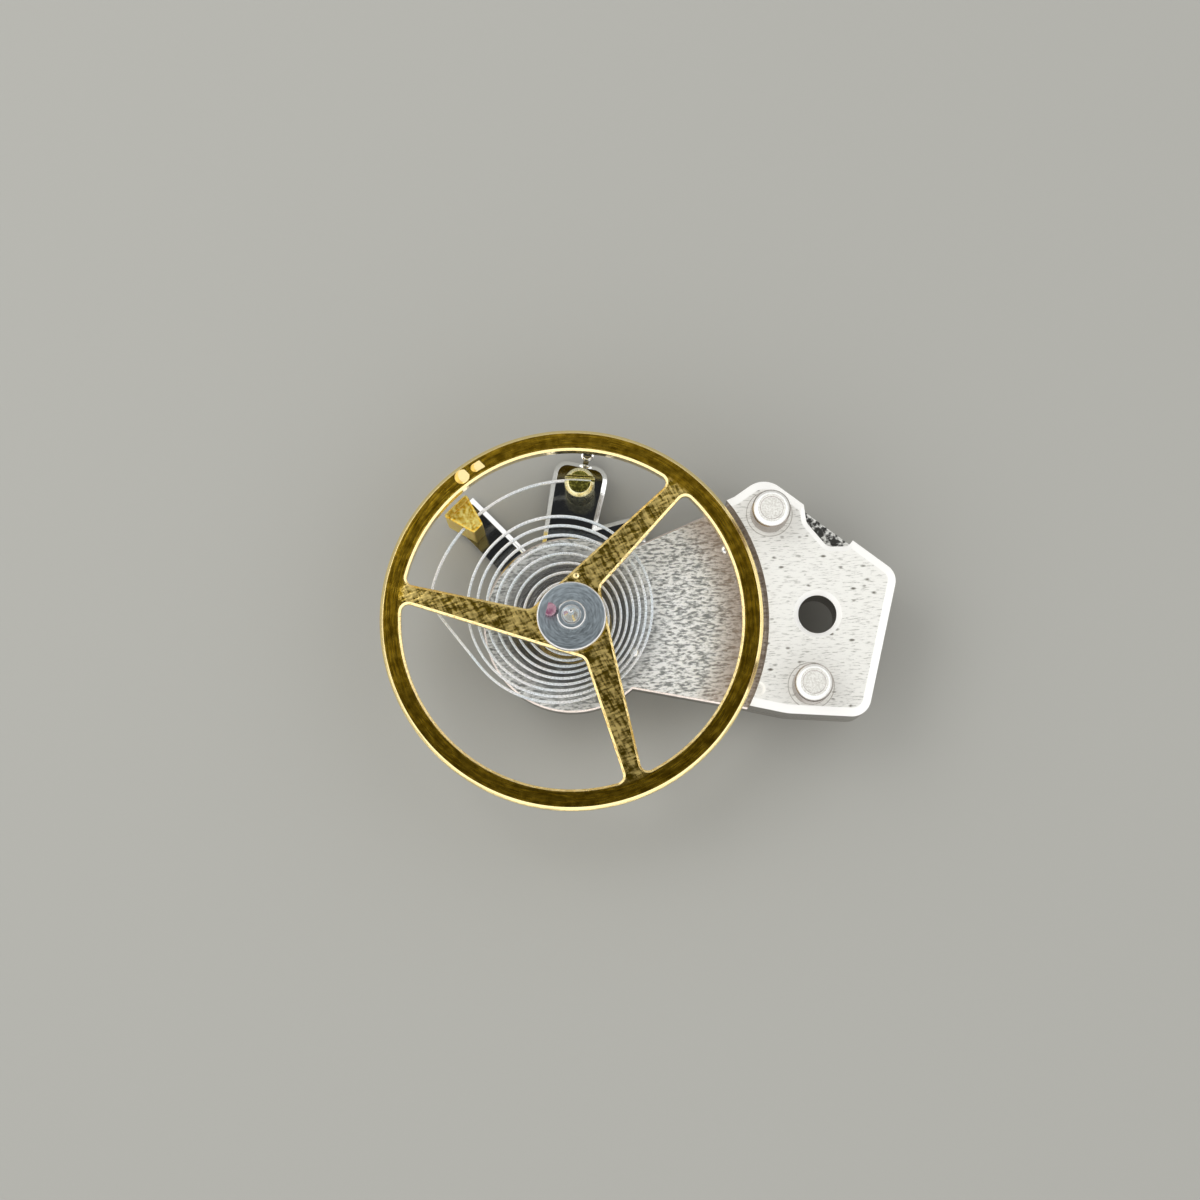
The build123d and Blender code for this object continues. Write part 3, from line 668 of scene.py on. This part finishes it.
def roller_steel():
    """Steel of the rollers: blue grey, turned and polished, with sides and bevels painted pale as a
    highlight.
    """
    made = Nodes("roller_steel", (0.62, 0.66, 0.78), 0.3)
    rings = made.around(0.03, 1.5)
    flat = made.flatness()
    # Sides and bevels get a paler colour than the faces: a painted highlight.
    made.set("Base Color", made.mix(flat, (0.74, 0.73, 0.72), (0.46, 0.53, 0.57)))
    made.set("Roughness", made.scaled(rings, 0.35, 0.65, 0.30, 0.44))
    made.bump(rings, 0.0012, 0.014)
    return made.material


def spring_steel():
    """Alloy of the hairspring: silvery white with a blue tint."""
    made = Nodes("spring_steel", (0.97, 0.98, 1.0), 0.3, 0.35)
    tint = made.scaled(made.noise(1.6, 2), 0.4, 0.6, 0, 1)
    made.set("Base Color", made.mix(tint, (0.88, 0.95, 1.0), (1.0, 1.0, 1.0)))
    grain = made.noise(0.03, 2)
    made.set("Roughness", made.scaled(grain, 0.3, 0.7, 0.20, 0.36))
    made.bump(grain, 0.0006)
    return made.material


def bright_steel():
    """Hardened steel of the staff, turned and polished."""
    made = Nodes("bright_steel", (0.80, 0.80, 0.79), 0.18)
    grain = made.noise(0.04, 3)
    made.set("Roughness", made.scaled(grain, 0.35, 0.65, 0.14, 0.30))
    made.bump(grain, 0.0012, 0.012)
    return made.material


def pin_steel():
    """Steel of the steady pins: white satin ends and polished sides, with walls painted dark brown as shade
    and rounds painted white as a highlight.
    """
    made = Nodes("pin_steel", (0.92, 0.91, 0.86), 0.3)
    grain = made.noise(0.05, 4)
    flat = made.flatness()
    ends = made.mix(made.scaled(grain, 0.40, 0.60, 0, 1), (0.72, 0.70, 0.64), (0.95, 0.94, 0.88))
    side = made.upward(0.55, 0.75)
    # Walls are painted dark brown as shade; rounds are painted white as a highlight.
    rounds = made.mix(side, (0.36, 0.31, 0.28), (1.0, 1.0, 0.97))
    made.set("Base Color", made.mix(flat, rounds, ends))
    made.set("Metallic", made.scaled(side, 0, 1, 1, 0.3))
    made.set("Roughness", made.scaled(flat, 0, 1, 0.25, 0.50))
    made.bump(made.times(grain, made.scaled(flat, 0, 1, 0.1, 1)), 0.006, 0.015)
    return made.material


def brass():
    """Brass of the stud: olive, with fine marks, and sides and bevels painted pale as a highlight."""
    made = Nodes("brass", (0.60, 0.52, 0.14), 0.2)
    grain = made.noise(0.05, 3)
    tone = made.scaled(grain, 0.35, 0.65, 0, 1)
    faces = made.mix(tone, (0.26, 0.24, 0.03), (0.50, 0.46, 0.10))
    # Sides and bevels get a paler brass than the faces: a painted highlight.
    made.set("Base Color", made.mix(made.flatness(), (0.84, 0.79, 0.50), faces))
    made.set("Roughness", made.scaled(grain, 0.35, 0.65, 0.18, 0.32))
    made.bump(grain, 0.003, 0.015)
    return made.material


def key_gold():
    """Bright gilding of the curb key."""
    made = Nodes("key_gold", (0.95, 0.62, 0.10), 0.3)
    grain = made.noise(0.07, 3)
    tone = made.scaled(grain, 0.35, 0.65, 0, 1)
    made.set("Base Color", made.mix(tone, (0.96, 0.56, 0.02), (1.0, 0.88, 0.30)))
    made.set("Roughness", made.scaled(grain, 0.35, 0.65, 0.28, 0.50))
    made.bump(grain, 0.008, 0.02)
    return made.material


def block_gilt():
    """Gilt brass of the shock block and its setting, turned."""
    made = Nodes("block_gilt", (0.92, 0.74, 0.38), 0.22)
    rings = made.around(0.03, 1.0)
    made.set("Roughness", made.scaled(rings, 0.35, 0.65, 0.20, 0.34))
    made.bump(rings, 0.0015, 0.012)
    return made.material


def ruby():
    """Synthetic ruby: clear, tinted and polished."""
    made = Nodes("ruby", (0.80, 0.30, 0.52), 0.08, 0.0)
    made.set("Transmission Weight", 0.5)
    made.set("IOR", 1.76)
    cloud = made.scaled(made.noise(0.12, 2), 0.35, 0.65, 0, 1)
    made.set("Base Color", made.mix(cloud, (0.46, 0.17, 0.29), (0.82, 0.50, 0.60)))
    return made.material


GILT = gilt_wheel()
NICKEL = nickel()
DARK = polish_with_painted_light()
ROLLER = roller_steel()
SPRING = spring_steel()
STAFF = bright_steel()
PIN = pin_steel()
BRASS = brass()
KEY = key_gold()
BLOCK = block_gilt()
RUBY = ruby()


# Balance wheel: a turned blank with three windows cut through it
def corner(point, direction, side, circle, radius):
    """A fillet between a line through a point and a circle about the axis, inside the circle: its points,
    from the line to the circle. side is the unit normal of the line on the fillet's side."""
    base = Vector(point) + Vector(side) * radius
    along = base.dot(direction)
    root = -along + sqrt(along * along - base.length_squared + (circle - radius) ** 2)
    centre = base + Vector(direction) * root
    return short_arc(centre, centre - Vector(side) * radius, centre.normalized() * circle)


def window(number):
    """The outline of the opening between two arms, counterclockwise."""
    inner = wheel_radius - rim_width
    touch = degrees(atan2(arm_tip_width, inner)) + degrees(acos(arm_hub_offset / hypot(inner, arm_tip_width)))
    first = arm_angle + number * 360 / arm_count
    last = first + 360 / arm_count
    hub_touch = polar(arm_hub_offset, first + touch)
    edge = Vector(polar(1, first + touch - 90))
    spoke = Vector(polar(1, last))
    outer_first = corner(hub_touch, edge, polar(1, first + touch), inner, rim_fillet)
    outer_last = corner((0, 0), spoke, polar(1, last - 90), inner, rim_fillet)[::-1]
    rim = short_arc((0, 0), outer_first[-1], outer_last[0], 2.0)[1:-1]
    hub = polar(arm_hub_offset / cos(radians(last - first - touch)), last)
    hub_corner = soften([outer_last[-1], hub, outer_first[0]], hub_fillet, closed=False, step=6.0)[1:-1]
    return outer_first + rim + outer_last + hub_corner


def poising_cut(angle, length, width):
    """A cutter with a flat slanting floor for one poising cut in the top of the rim."""
    slope = tan(radians(poising_tilt)) / sqrt(2)
    depth = width * sqrt(2) * slope / 2
    place = polar(wheel_radius - rim_width / 2, angle)
    half = (length - width) / 2
    loop = arc((half, 0), width / 2, -90, 180, 15.0) + arc((-half, 0), width / 2, 90, 180, 15.0)
    loop = [turned(point, angle + 90, place) for point in loop]
    points = [(x, y, rim_top - depth + slope * ((x - place[0]) + (y - place[1]))) for x, y in loop]
    points += [(x, y, rim_top + 2 * depth) for x, y in loop]
    return skin("poising_cut", points, len(loop))


def make_wheel():
    """The wheel with its windows, poising cuts and the dimple in its hub."""
    inner = wheel_radius - rim_width
    profile = [
        (rivet_radius, rim_top),
        (wheel_radius - rim_bevel, rim_top),
        (wheel_radius, rim_top - rim_bevel),
        (wheel_radius, rim_bottom + rim_bevel),
        (wheel_radius - rim_bevel, rim_bottom),
        (inner + rim_bevel, rim_bottom),
        (inner, rim_bottom + rim_bevel),
        (inner, arm_bottom),
        (rivet_radius, arm_bottom),
    ]
    wheel = lathe("balance_wheel_gilt", soften(profile, [0] + [edge_round] * 6 + [0, 0]), sides=FINE_SIDES)
    cutters = []
    for number in range(arm_count):
        loop = tidy_loop(window(number))
        wide = inset(loop, -window_bevel - OVER)
        rings = [(loop, rim_bottom - OVER), (loop, rim_top - window_bevel), (wide, rim_top + OVER)]
        cutters.append(stack("window", rings))
    cutters += [poising_cut(*cut) for cut in poising_cuts]
    dimple = [(0, rim_top - dimple_depth), (dimple_radius, rim_top + OVER), (0, rim_top + OVER)]
    cutters.append(lathe("dimple", dimple, [dimple_place], 24))
    combine(wheel, cutters)
    finish(wheel, "balance", "gilt", GILT, "balance_wheel")


# Hairspring: a strip swept along quarter arcs, then a lead, a knee and the arc under the stud and curb key
def spring_line():
    """Points along the middle of the strip."""
    x, y, radius = 0.0, 0.0, spring_start
    points = []
    for step in range(4 * spring_turns):
        start = 270.0 - 90.0 * step
        points += arc((x, y), radius, start, -90.0, 5.0)
        turn = polar(1, start - 90.0)
        growth = coil_pitch / 4 - (coil_drift[0] * turn[0] + coil_drift[1] * turn[1]) / 2
        x, y, radius = x - growth * turn[0], y - growth * turn[1], radius + growth
    knee = polar(outer_coil - knee_radius, knee_angle)
    away = (x - knee[0], y - knee[1])
    lead = (degrees(atan2(away[1], away[0])) - degrees(acos((knee_radius - radius) / hypot(*away)))) % 360.0
    stud_end = stud_angle - degrees(stud_tail / outer_coil)
    points += arc((x, y), radius, 270.0, lead - 270.0, 5.0)
    points += arc(knee, knee_radius, lead, knee_angle - lead, 5.0)
    points += arc((0, 0), outer_coil, knee_angle, stud_end - knee_angle, 2.0)
    return points


def make_spring():
    """The strip on edge, with rolled corners, along the line of the spring."""
    line = spring_line()
    path = [line[0]]
    for point in line[1:]:
        if dist(point, path[-1]) > 0.001:
            path.append(point)
    half, tall = strip_thickness / 2 + strip_swell, strip_height / 2
    section = soften([(-half, -tall), (half, -tall), (half, tall), (-half, tall)], strip_round, step=30.0)
    points = []
    for place, here in enumerate(path):
        ahead = Vector(path[min(place + 1, len(path) - 1)]) - Vector(path[max(place - 1, 0)])
        side = Vector((-ahead.y, ahead.x)).normalized()
        points += [(here[0] + side.x * a, here[1] + side.y * a, spring_z + b) for a, b in section]
    spring = skin("hairspring_coils", points, len(section))
    finish(spring, "stud_carrier", "spring_steel", SPRING, "hairspring")


# Impulse roller with its jewel, and the safety roller
def impulse_loop(grow=0.0):
    """The D outline of the jewel, grown by a clearance."""
    radius = impulse_radius + grow
    half = degrees(acos((impulse_flat + grow) / radius))
    place = polar(impulse_distance, impulse_angle)
    return [turned(p, impulse_angle, place) for p in arc((0, 0), radius, half, 360 - 2 * half, 8.0)]


def make_rollers():
    """The table, the jewel in it and the safety roller."""
    profile = [
        (seat_radius, roller_bottom),
        (roller_radius - roller_edge, roller_bottom),
        (roller_radius, roller_bottom + roller_edge),
        (roller_radius, roller_top - roller_bevel),
        (roller_radius - roller_bevel, roller_top),
        (seat_radius, roller_top),
    ]
    table = lathe("roller_table_steel", soften(profile, [0] + [0.02] * 4 + [0]))
    hole = slab("hole", impulse_loop(impulse_play), roller_bottom - OVER, roller_top + OVER)
    combine(table, [hole])
    finish(table, "balance", "roller_steel", ROLLER, "roller_table")
    bottom, top = levels("impulse_jewel")
    jewel = slab("impulse_jewel_ruby", impulse_loop(), bottom, top, (0.02, 0.02), (0.015, 0.015))
    finish(jewel, "balance", "ruby", RUBY, "impulse_jewel")
    profile = [
        (seat_radius, roller_top),
        (safety_radius, roller_top),
        (safety_radius, safety_top - safety_bevel),
        (safety_radius - safety_bevel, safety_top),
        (seat_radius + safety_bevel, safety_top),
        (seat_radius, safety_top - safety_bevel),
    ]
    collar = lathe("safety_roller_steel", soften(profile, [0, 0] + [edge_round] * 4))
    place = polar(crescent_distance, impulse_angle)
    combine(collar, [drill(crescent_radius, roller_top - OVER, safety_top + OVER, [place], 48)])
    finish(collar, "balance", "roller_steel", ROLLER, "safety_roller")


def make_staff():
    """The turned axle: lower pivot, cone, roller seat, rivet collar, flange, collet seat and upper pivot."""
    collar, flange, collet_seat = 0.30, 0.62, 0.27
    # The bevel of the tips, and how far a seat goes past the piece on it
    tip, past = 0.02, 0.03
    lower = ((0.075, 0.36), (0.13, 0.46))
    upper = ((0.22, 0.67), (0.13, 0.55), (0.075, 0.46), (pivot_radius, 0.38))
    profile = [
        (0, staff_top),
        (pivot_radius - tip, staff_top),
        (pivot_radius, staff_top - tip),
        (pivot_radius, staff_top - 0.28),
        *[(radius, staff_top - depth) for radius, depth in lower],
        (seat_radius, safety_top + 2 * past),
        (seat_radius, roller_bottom),
        (collar, roller_bottom),
        (collar, rim_top + 2 * past),
        (rivet_radius, rim_top + past),
        (rivet_radius, arm_bottom),
        (flange, arm_bottom),
        (flange, collet_top + past),
        (collet_seat, collet_top + past),
        (collet_seat, collet_bottom - past),
        (upper[0][0], collet_bottom - past),
        *[(radius, staff_tip + rise) for radius, rise in upper],
        (pivot_radius, staff_tip + tip),
        (pivot_radius - tip, staff_tip),
        (0, staff_tip),
    ]
    staff = lathe("balance_staff_steel", soften(profile, 0.008, closed=False), sides=96)
    finish(staff, "balance", "staff_steel", STAFF, "balance_staff")


# Cock: one plate with a thick foot, recessed in a circle for the wheel
def meet_disc(inner, outer):
    """Where a line from a point in the disc to one outside it leaves the disc."""
    start, way = Vector(inner), (Vector(outer) - Vector(inner)).normalized()
    along = start.dot(way)
    return tuple(start + way * (-along + sqrt(along * along - start.length_squared + disc_radius ** 2)))


def cock_outline():
    """The outline of the cock: the foot, rounded at its corners, and the disc at the other end."""
    lower, upper = [scaled(place, disc_radius) for place in joint_shares]
    foot = [on_foot(place) for place in foot_shares]
    corners = [upper, scaled(corner_shares, step_radius), *foot, lower]
    chain = soften(corners, foot_rounds, closed=False, step=5.0)
    chain[0] = meet_disc(upper, chain[1])
    chain[-1] = meet_disc(lower, chain[-2])
    start = degrees(atan2(chain[-1][1], chain[-1][0]))
    end = degrees(atan2(chain[0][1], chain[0][0]))
    return tidy_loop(chain + arc((0, 0), disc_radius, start, end - start - 360, 2.0)[1:-1])


def make_cock():
    """The plate with its own bevel, the bevelled foot on it, and what is cut out of both."""
    outline = cock_outline()
    below, above = cock_back - OVER, seat_z + OVER
    cock = slab("balance_cock_nickel", outline, cock_back, arm_face, arm_bevel, back_bevel)
    foot = slab("foot", inset(outline, foot_inset), foot_root, seat_z, seat_bevel)
    combine(foot, [drill(step_radius, cock_back, above, sides=FINE_SIDES)])
    combine(cock, [foot], "UNION")
    notch = tidy_loop(soften([on_foot(place) for place in notch_shares], notch_round, step=10.0))
    wide = inset(notch, -notch_bevel[0] - OVER)
    rings = [(notch, notch_floor), (notch, seat_z - notch_bevel[1]), (wide, seat_z + 0.4 * OVER)]
    head_z = cock_back + head_depth
    screw = [
        (0, below),
        (head_radius, below),
        (head_radius, head_z),
        (screw_radius, head_z),
        (screw_radius, seat_z - screw_bevel),
        (screw_radius + screw_bevel + OVER, above),
        (0, above),
    ]
    pins = [middle(pin) for pin in STEADY_PINS]
    floor = (mark_floor[0], seat_z - mark_floor[1])
    mark = [(0, seat_z - mark_depth), floor, (mark_radius + OVER, above), (0, above)]
    cutters = [
        stack("pocket", rings),
        lathe("screw", screw, [screw_place]),
        drill(block_radius, below, arm_face + OVER),
        drill(pin_stem_radius, pin_foot, above, pins, 64),
        lathe("mark", mark, [mark_place], 48),
    ]
    combine(cock, cutters)
    finish(cock, "cock", "nickel", NICKEL, "balance_cock")


def make_pegs():
    """The two small pegs, domed at the arm's face."""
    bottom, top = levels("cock_pegs")
    rise = peg_radius * peg_dome_share
    dome = [(peg_radius * sin(radians(a)), top - rise * (1 - cos(radians(a)))) for a in range(0, 91, 15)]
    places = [scaled(peg_on_step, step_radius), scaled(peg_on_disc, disc_radius)]
    pegs = lathe("cock_pegs_steel", dome + [(peg_radius, bottom), (0, bottom)], places, 48)
    finish(pegs, "cock", "pin_steel", STAFF, "cock_pegs")


def make_pin(node):
    """One steady pin: a rounded end with a shallow turned recess."""
    body, face, dish, inner = 0.50, 0.38, 0.31, 0.28
    shoulder, floor = pin_top - 0.12, pin_top - 0.04
    profile = [
        (0, low(node).z),
        (pin_stem_radius, low(node).z),
        (pin_stem_radius, seat_z),
        (body, seat_z),
        (body, shoulder),
        (face, pin_top),
        (dish, pin_top),
        (inner, floor),
        (0, floor),
    ]
    rounds = [0, 0, 0, 0, 0.14, 0.10, edge_round, edge_round, 0]
    pin = lathe(node + "_steel", soften(profile, rounds, closed=False), [middle(node)], 96)
    finish(pin, "cock", "pin_steel", PIN, node)


# Shock setting: block, setting and jewels
def make_shock():
    """The turned block, pressed into the cock's disc, with its setting and two jewels."""
    bore, base, seat, recess, lip = 0.30, 0.58, 0.66, 0.84, 1.22
    floor = block_front - 0.18
    lip_top = block_back + 0.10
    ledge = high("lyre_spring").z + 0.01
    profile = [
        (bore, block_front),
        (block_radius, block_front),
        (block_radius, lip_top),
        (lip, lip_top),
        (lip, block_back),
        (recess, block_back),
        (recess, ledge),
        (seat, ledge),
        (seat, floor - 0.08),
        (base, floor),
        (bore, floor),
    ]
    block = lathe("shock_block_gilt", soften(profile, [0.05, 0, 0, 0.03, 0.03, 0.03, 0, 0.02, 0, 0, 0.02]))
    finish(block, "cock", "block_brass", BLOCK, "shock_block")
    bottom, top = levels("jewel_setting")
    hole_jewel, cap_jewel, outer, bevel = 0.36, 0.46, 0.60, 0.08
    ledge = bottom + 0.24
    profile = [
        (hole_jewel, top),
        (outer - bevel, top),
        (outer, top - bevel),
        (outer, bottom),
        (cap_jewel, bottom),
        (cap_jewel, ledge),
        (hole_jewel, ledge),
    ]
    setting = lathe("jewel_setting_gilt", soften(profile, 0.015), sides=96)
    finish(setting, "setting", "block_brass", BLOCK, "jewel_setting")
    bottom, top = levels("hole_jewel")
    hole = 0.06
    profile = [(hole, top - 0.04), (2 * hole, top), (hole_jewel, top), (hole_jewel, bottom), (hole, bottom)]
    jewel = lathe("hole_jewel_ruby", soften(profile, [0.01, 0.02, 0, 0, 0.01]), sides=96)
    finish(jewel, "setting", "ruby", RUBY, "hole_jewel")
    bottom, top = levels("cap_jewel")
    edge = (cap_jewel - 0.10, bottom)
    profile = [(0, top), (cap_jewel, top), (cap_jewel, bottom + 0.06), edge, (0, bottom)]
    jewel = lathe("cap_jewel_ruby", soften(profile, [0, 0, 0.03, 0.10, 0], closed=False), sides=96)
    finish(jewel, "setting", "ruby", RUBY, "cap_jewel")


# Stud carrier, regulator, stud and curb key
def bar(start, end, half_start, half_end, angle, centre=(0, 0)):
    """A tapered bar along a direction from a centre, as a loop."""
    corners = [(start, -half_start), (end, -half_end), (end, half_end), (start, half_start)]
    return [turned(place, angle, centre) for place in corners]


def circle(radius):
    """The outline of a ring about the balance axis."""
    return arc((0, 0), radius, 0, 360, 2.5)[:-1]


def ring_cutters(bottom, top, slit_angle):
    """The bore of a split ring and its slit."""
    slit = slab("slit", bar(0.2, 3, ring_slit / 2, ring_slit / 2, slit_angle), bottom - OVER, top + OVER)
    return [drill(bore_radius, bottom - OVER, top + OVER), slit]


def make_carrier():
    """The stud carrier: a split ring with a tongue, an ear and a lug, polished with broad bevels."""
    bottom, top = carrier_bottom, carrier_top
    place = polar(stud_distance, stud_angle)
    tongue = soften(tongue_outline, [0, 0, 0, 0.5, 0.5, 0, 0, 0], step=7.0)
    tongue = [turned(point, tongue_angle, place) for point in tongue]
    ear = soften(ear_outline, [0, 0, 0.207, 0.207, 0], step=9.0)
    ring = slab("stud_carrier_steel", circle(carrier_ring), bottom, top, carrier_bevel)
    parts = [slab("part", loop, bottom, top, carrier_bevel) for loop in (tongue, ear)]
    neck = bar(0.5, lug_distance, neck_half, neck_half, tongue_angle, place)
    parts.append(slab("neck", neck, bottom, bottom + neck_height))
    lug_top = bottom + lug_height
    lug = [
        (0, bottom),
        (lug_radius, bottom),
        (lug_radius, lug_top - lug_bevel),
        (lug_radius - lug_bevel, lug_top),
        (0, lug_top),
    ]
    lug = soften(lug, [0, 0, 0.04, 0.04, 0], closed=False)
    parts.append(lathe("lug", lug, [turned((lug_distance, 0), tongue_angle, place)], 40))
    combine(ring, parts, "UNION")
    hole = [
        (0, bottom - OVER),
        (stud_hole_radius, bottom - OVER),
        (stud_hole_radius, top - 0.03),
        (stud_hole_radius + OVER, top + 0.02),
        (0, top + 0.02),
    ]
    hole = lathe("hole", hole, [place], 64)
    combine(ring, ring_cutters(bottom, top, stud_angle + 180) + [hole])
    finish(ring, "stud_carrier", "dark_steel", DARK, "stud_carrier")


def make_regulator():
    """The regulator: a split ring with one polished arm, bevelled on one side and at its end."""
    bottom, top = regulator_bottom, regulator_top
    ring = slab("regulator_index_steel", circle(regulator_ring), bottom, top, regulator_bevel)
    side = turned((0, -lever_lean), lever_angle)
    lever = bar(lever_start, lever_end, lever_half, lever_half, lever_angle, side)
    wide, deep = lever_bevel
    near, far = wide - lever_half, lever_end - wide
    corners = [(lever_start, near), (far, near), (far, lever_half), (lever_start, lever_half)]
    face = [turned(p, lever_angle, side) for p in corners]
    rings = [(lever, bottom), (lever, top - deep), (face, top)]
    combine(ring, [stack("lever", rings)], "UNION")
    key_place = polar(outer_coil, lever_angle)
    hole = drill(key_hole_radius, bottom - OVER, top + OVER, [key_place], 48)
    combine(ring, ring_cutters(bottom, top, lever_angle + 180) + [hole])
    finish(ring, "regulator", "dark_steel", DARK, "regulator_index")


def make_stud():
    """The stud with the open slot for the spring."""
    place = polar(stud_distance, stud_angle)
    profile = [
        (0, stud_foot),
        (stud_foot_radius, stud_foot),
        (stud_foot_radius, carrier_top + 0.03),
        (stud_radius, carrier_top + 0.03),
        (stud_radius, stud_top - stud_edge),
        (stud_radius - stud_edge, stud_top),
        (0, stud_top),
    ]
    profile = soften(profile, [0, 0.02, 0, 0.02, 0.03, 0.03, 0], closed=False)
    stud = lathe("hairspring_stud_brass", profile, [place], 72)
    inner = outer_coil - strip_thickness / 2 - 0.01
    outer = outer_coil + strip_thickness / 2 + 0.10
    loop = bar(inner, outer, stud_slot_half, stud_slot_half, stud_angle)
    slot = slab("slot", loop, spring_z - 0.10, stud_top + OVER)
    combine(stud, [slot])
    finish(stud, "stud", "stud_brass", BRASS, "hairspring_stud")


def make_key():
    """The curb key: a gilt wedge with a slot for the spring, on a stem through the regulator's arm."""
    bottom = regulator_top + 0.03
    place = polar(outer_coil, lever_angle)
    loop = soften(bar(*key_shape, lever_angle, place), key_corner)
    key = slab("curb_key_gilt", loop, bottom, key_top, key_bevel)
    combine(key, [drill(key_stem_radius, key_foot, bottom + OVER, [place], 48)], "UNION")
    loop = bar(-key_slot / 2, key_slot / 2, ACROSS, ACROSS, lever_angle, place)
    slot = slab("slot", loop, spring_z - key_slot, spring_z + key_slot)
    loop = bar(*groove_ends, ACROSS, ACROSS, lever_angle, place)
    groove = slab("groove", loop, key_top - cut_depth, key_top + OVER)
    dot = [(0, key_top - cut_depth), (dot_radius, key_top + OVER), (0, key_top + OVER)]
    dot = lathe("dot", dot, [turned(dot_place, lever_angle, place)], 24)
    combine(key, [slot, groove, dot])
    finish(key, "curb_key", "key_gilt", KEY, "curb_key")


make_wheel()
make_spring()
make_rollers()
make_staff()
make_cock()
make_pegs()
for steady_pin in STEADY_PINS:
    make_pin(steady_pin)
make_shock()
make_carrier()
make_regulator()
make_stud()
make_key()

# Pieces that keep their CAD shape get their finish here
for node, material in (("collet", BRASS), ("lyre_spring", STAFF), ("stud_pin", BRASS)):
    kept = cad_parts[node]
    kept.data.materials.clear()
    kept.data.materials.append(material)

# Floor, light and camera
camera_target = Vector((0.74, 0.47, -1.10)) * MM
camera_back = Vector((0, -cos(radians(81.7)), sin(radians(81.7))))
camera_distance = 58.3 * MM
camera_field = 30.0
overhead = (-0.06, -0.03, 0.998)
overhead_levels = (
    (0.0, 1.65), (0.30, 1.60), (0.60, 1.40), (0.80, 1.05),
    (0.88, 0.65), (0.93, 0.22), (0.955, 0.08), (1.0, 0.05),
)
backward = (0, 1, 0)
backward_levels = ((0.0, 1.0), (0.45, 0.95), (0.80, 0.70), (1.0, 0.50))


def make_floor():
    """A pale plain floor under the lowest point of the object."""
    size = 1.0
    mesh = bpy.data.meshes.new("floor")
    corners = [(-size, -size), (size, -size), (size, size), (-size, size)]
    mesh.from_pydata([(x, y, cad_low.z) for x, y in corners], [], [(0, 1, 2, 3)])
    floor = add_object("floor", mesh)
    look = Nodes("floor", (0.415, 0.412, 0.380), 0.9, 0.0)
    look.set("Specular IOR Level", 0.1)
    mesh.materials.append(look.material)


def make_world():
    """Soft studio light: bright all round, dimmer at the back and dark overhead."""
    world = bpy.data.worlds.new("studio")
    world.use_nodes = True
    bpy.context.scene.world = world
    tree = world.node_tree
    place = tree.nodes.new("ShaderNodeTexCoord").outputs["Generated"]
    colours = []
    for direction, stops in ((overhead, overhead_levels), (backward, backward_levels)):
        along = tree.nodes.new("ShaderNodeVectorMath")
        along.operation = "DOT_PRODUCT"
        tree.links.new(place, along.inputs[0])
        along.inputs[1].default_value = direction
        ramp = tree.nodes.new("ShaderNodeValToRGB")
        tree.links.new(along.outputs["Value"], ramp.inputs["Fac"])
        elements = ramp.color_ramp.elements
        while len(elements) < len(stops):
            elements.new(0.5)
        for element, (position, level) in zip(elements, stops):
            element.position = position
            element.color = (level, level, level, 1)
        colours.append(ramp.outputs["Color"])
    both = tree.nodes.new("ShaderNodeVectorMath")
    both.operation = "MULTIPLY"
    tree.links.new(colours[0], both.inputs[0])
    tree.links.new(colours[1], both.inputs[1])
    tree.links.new(both.outputs[0], tree.nodes["Background"].inputs["Color"])


def make_lamp(name, place, size, power):
    """A soft square lamp that looks at the object."""
    lamp = bpy.data.lights.new(name, "AREA")
    lamp.size = size
    lamp.energy = power
    made = add_object(name, lamp)
    made.location = place
    made.rotation_euler = (-Vector(place)).to_track_quat("-Z", "Y").to_euler()


def make_camera():
    """The camera at the photograph's angle: nearly straight above, a little from the front."""
    lens = bpy.data.cameras.new("camera")
    lens.angle = radians(camera_field)
    lens.clip_start = 0.001
    lens.clip_end = 10.0
    made = add_object("camera", lens)
    made.location = camera_target + camera_back * camera_distance
    made.rotation_euler = (-camera_back).to_track_quat("-Z", "Y").to_euler()
    bpy.context.scene.camera = made


make_floor()
make_world()
make_lamp("key", (-0.05, 0.03, 0.07), 0.05, 0.015)
make_camera()
bpy.context.scene.view_settings.view_transform = "Standard"
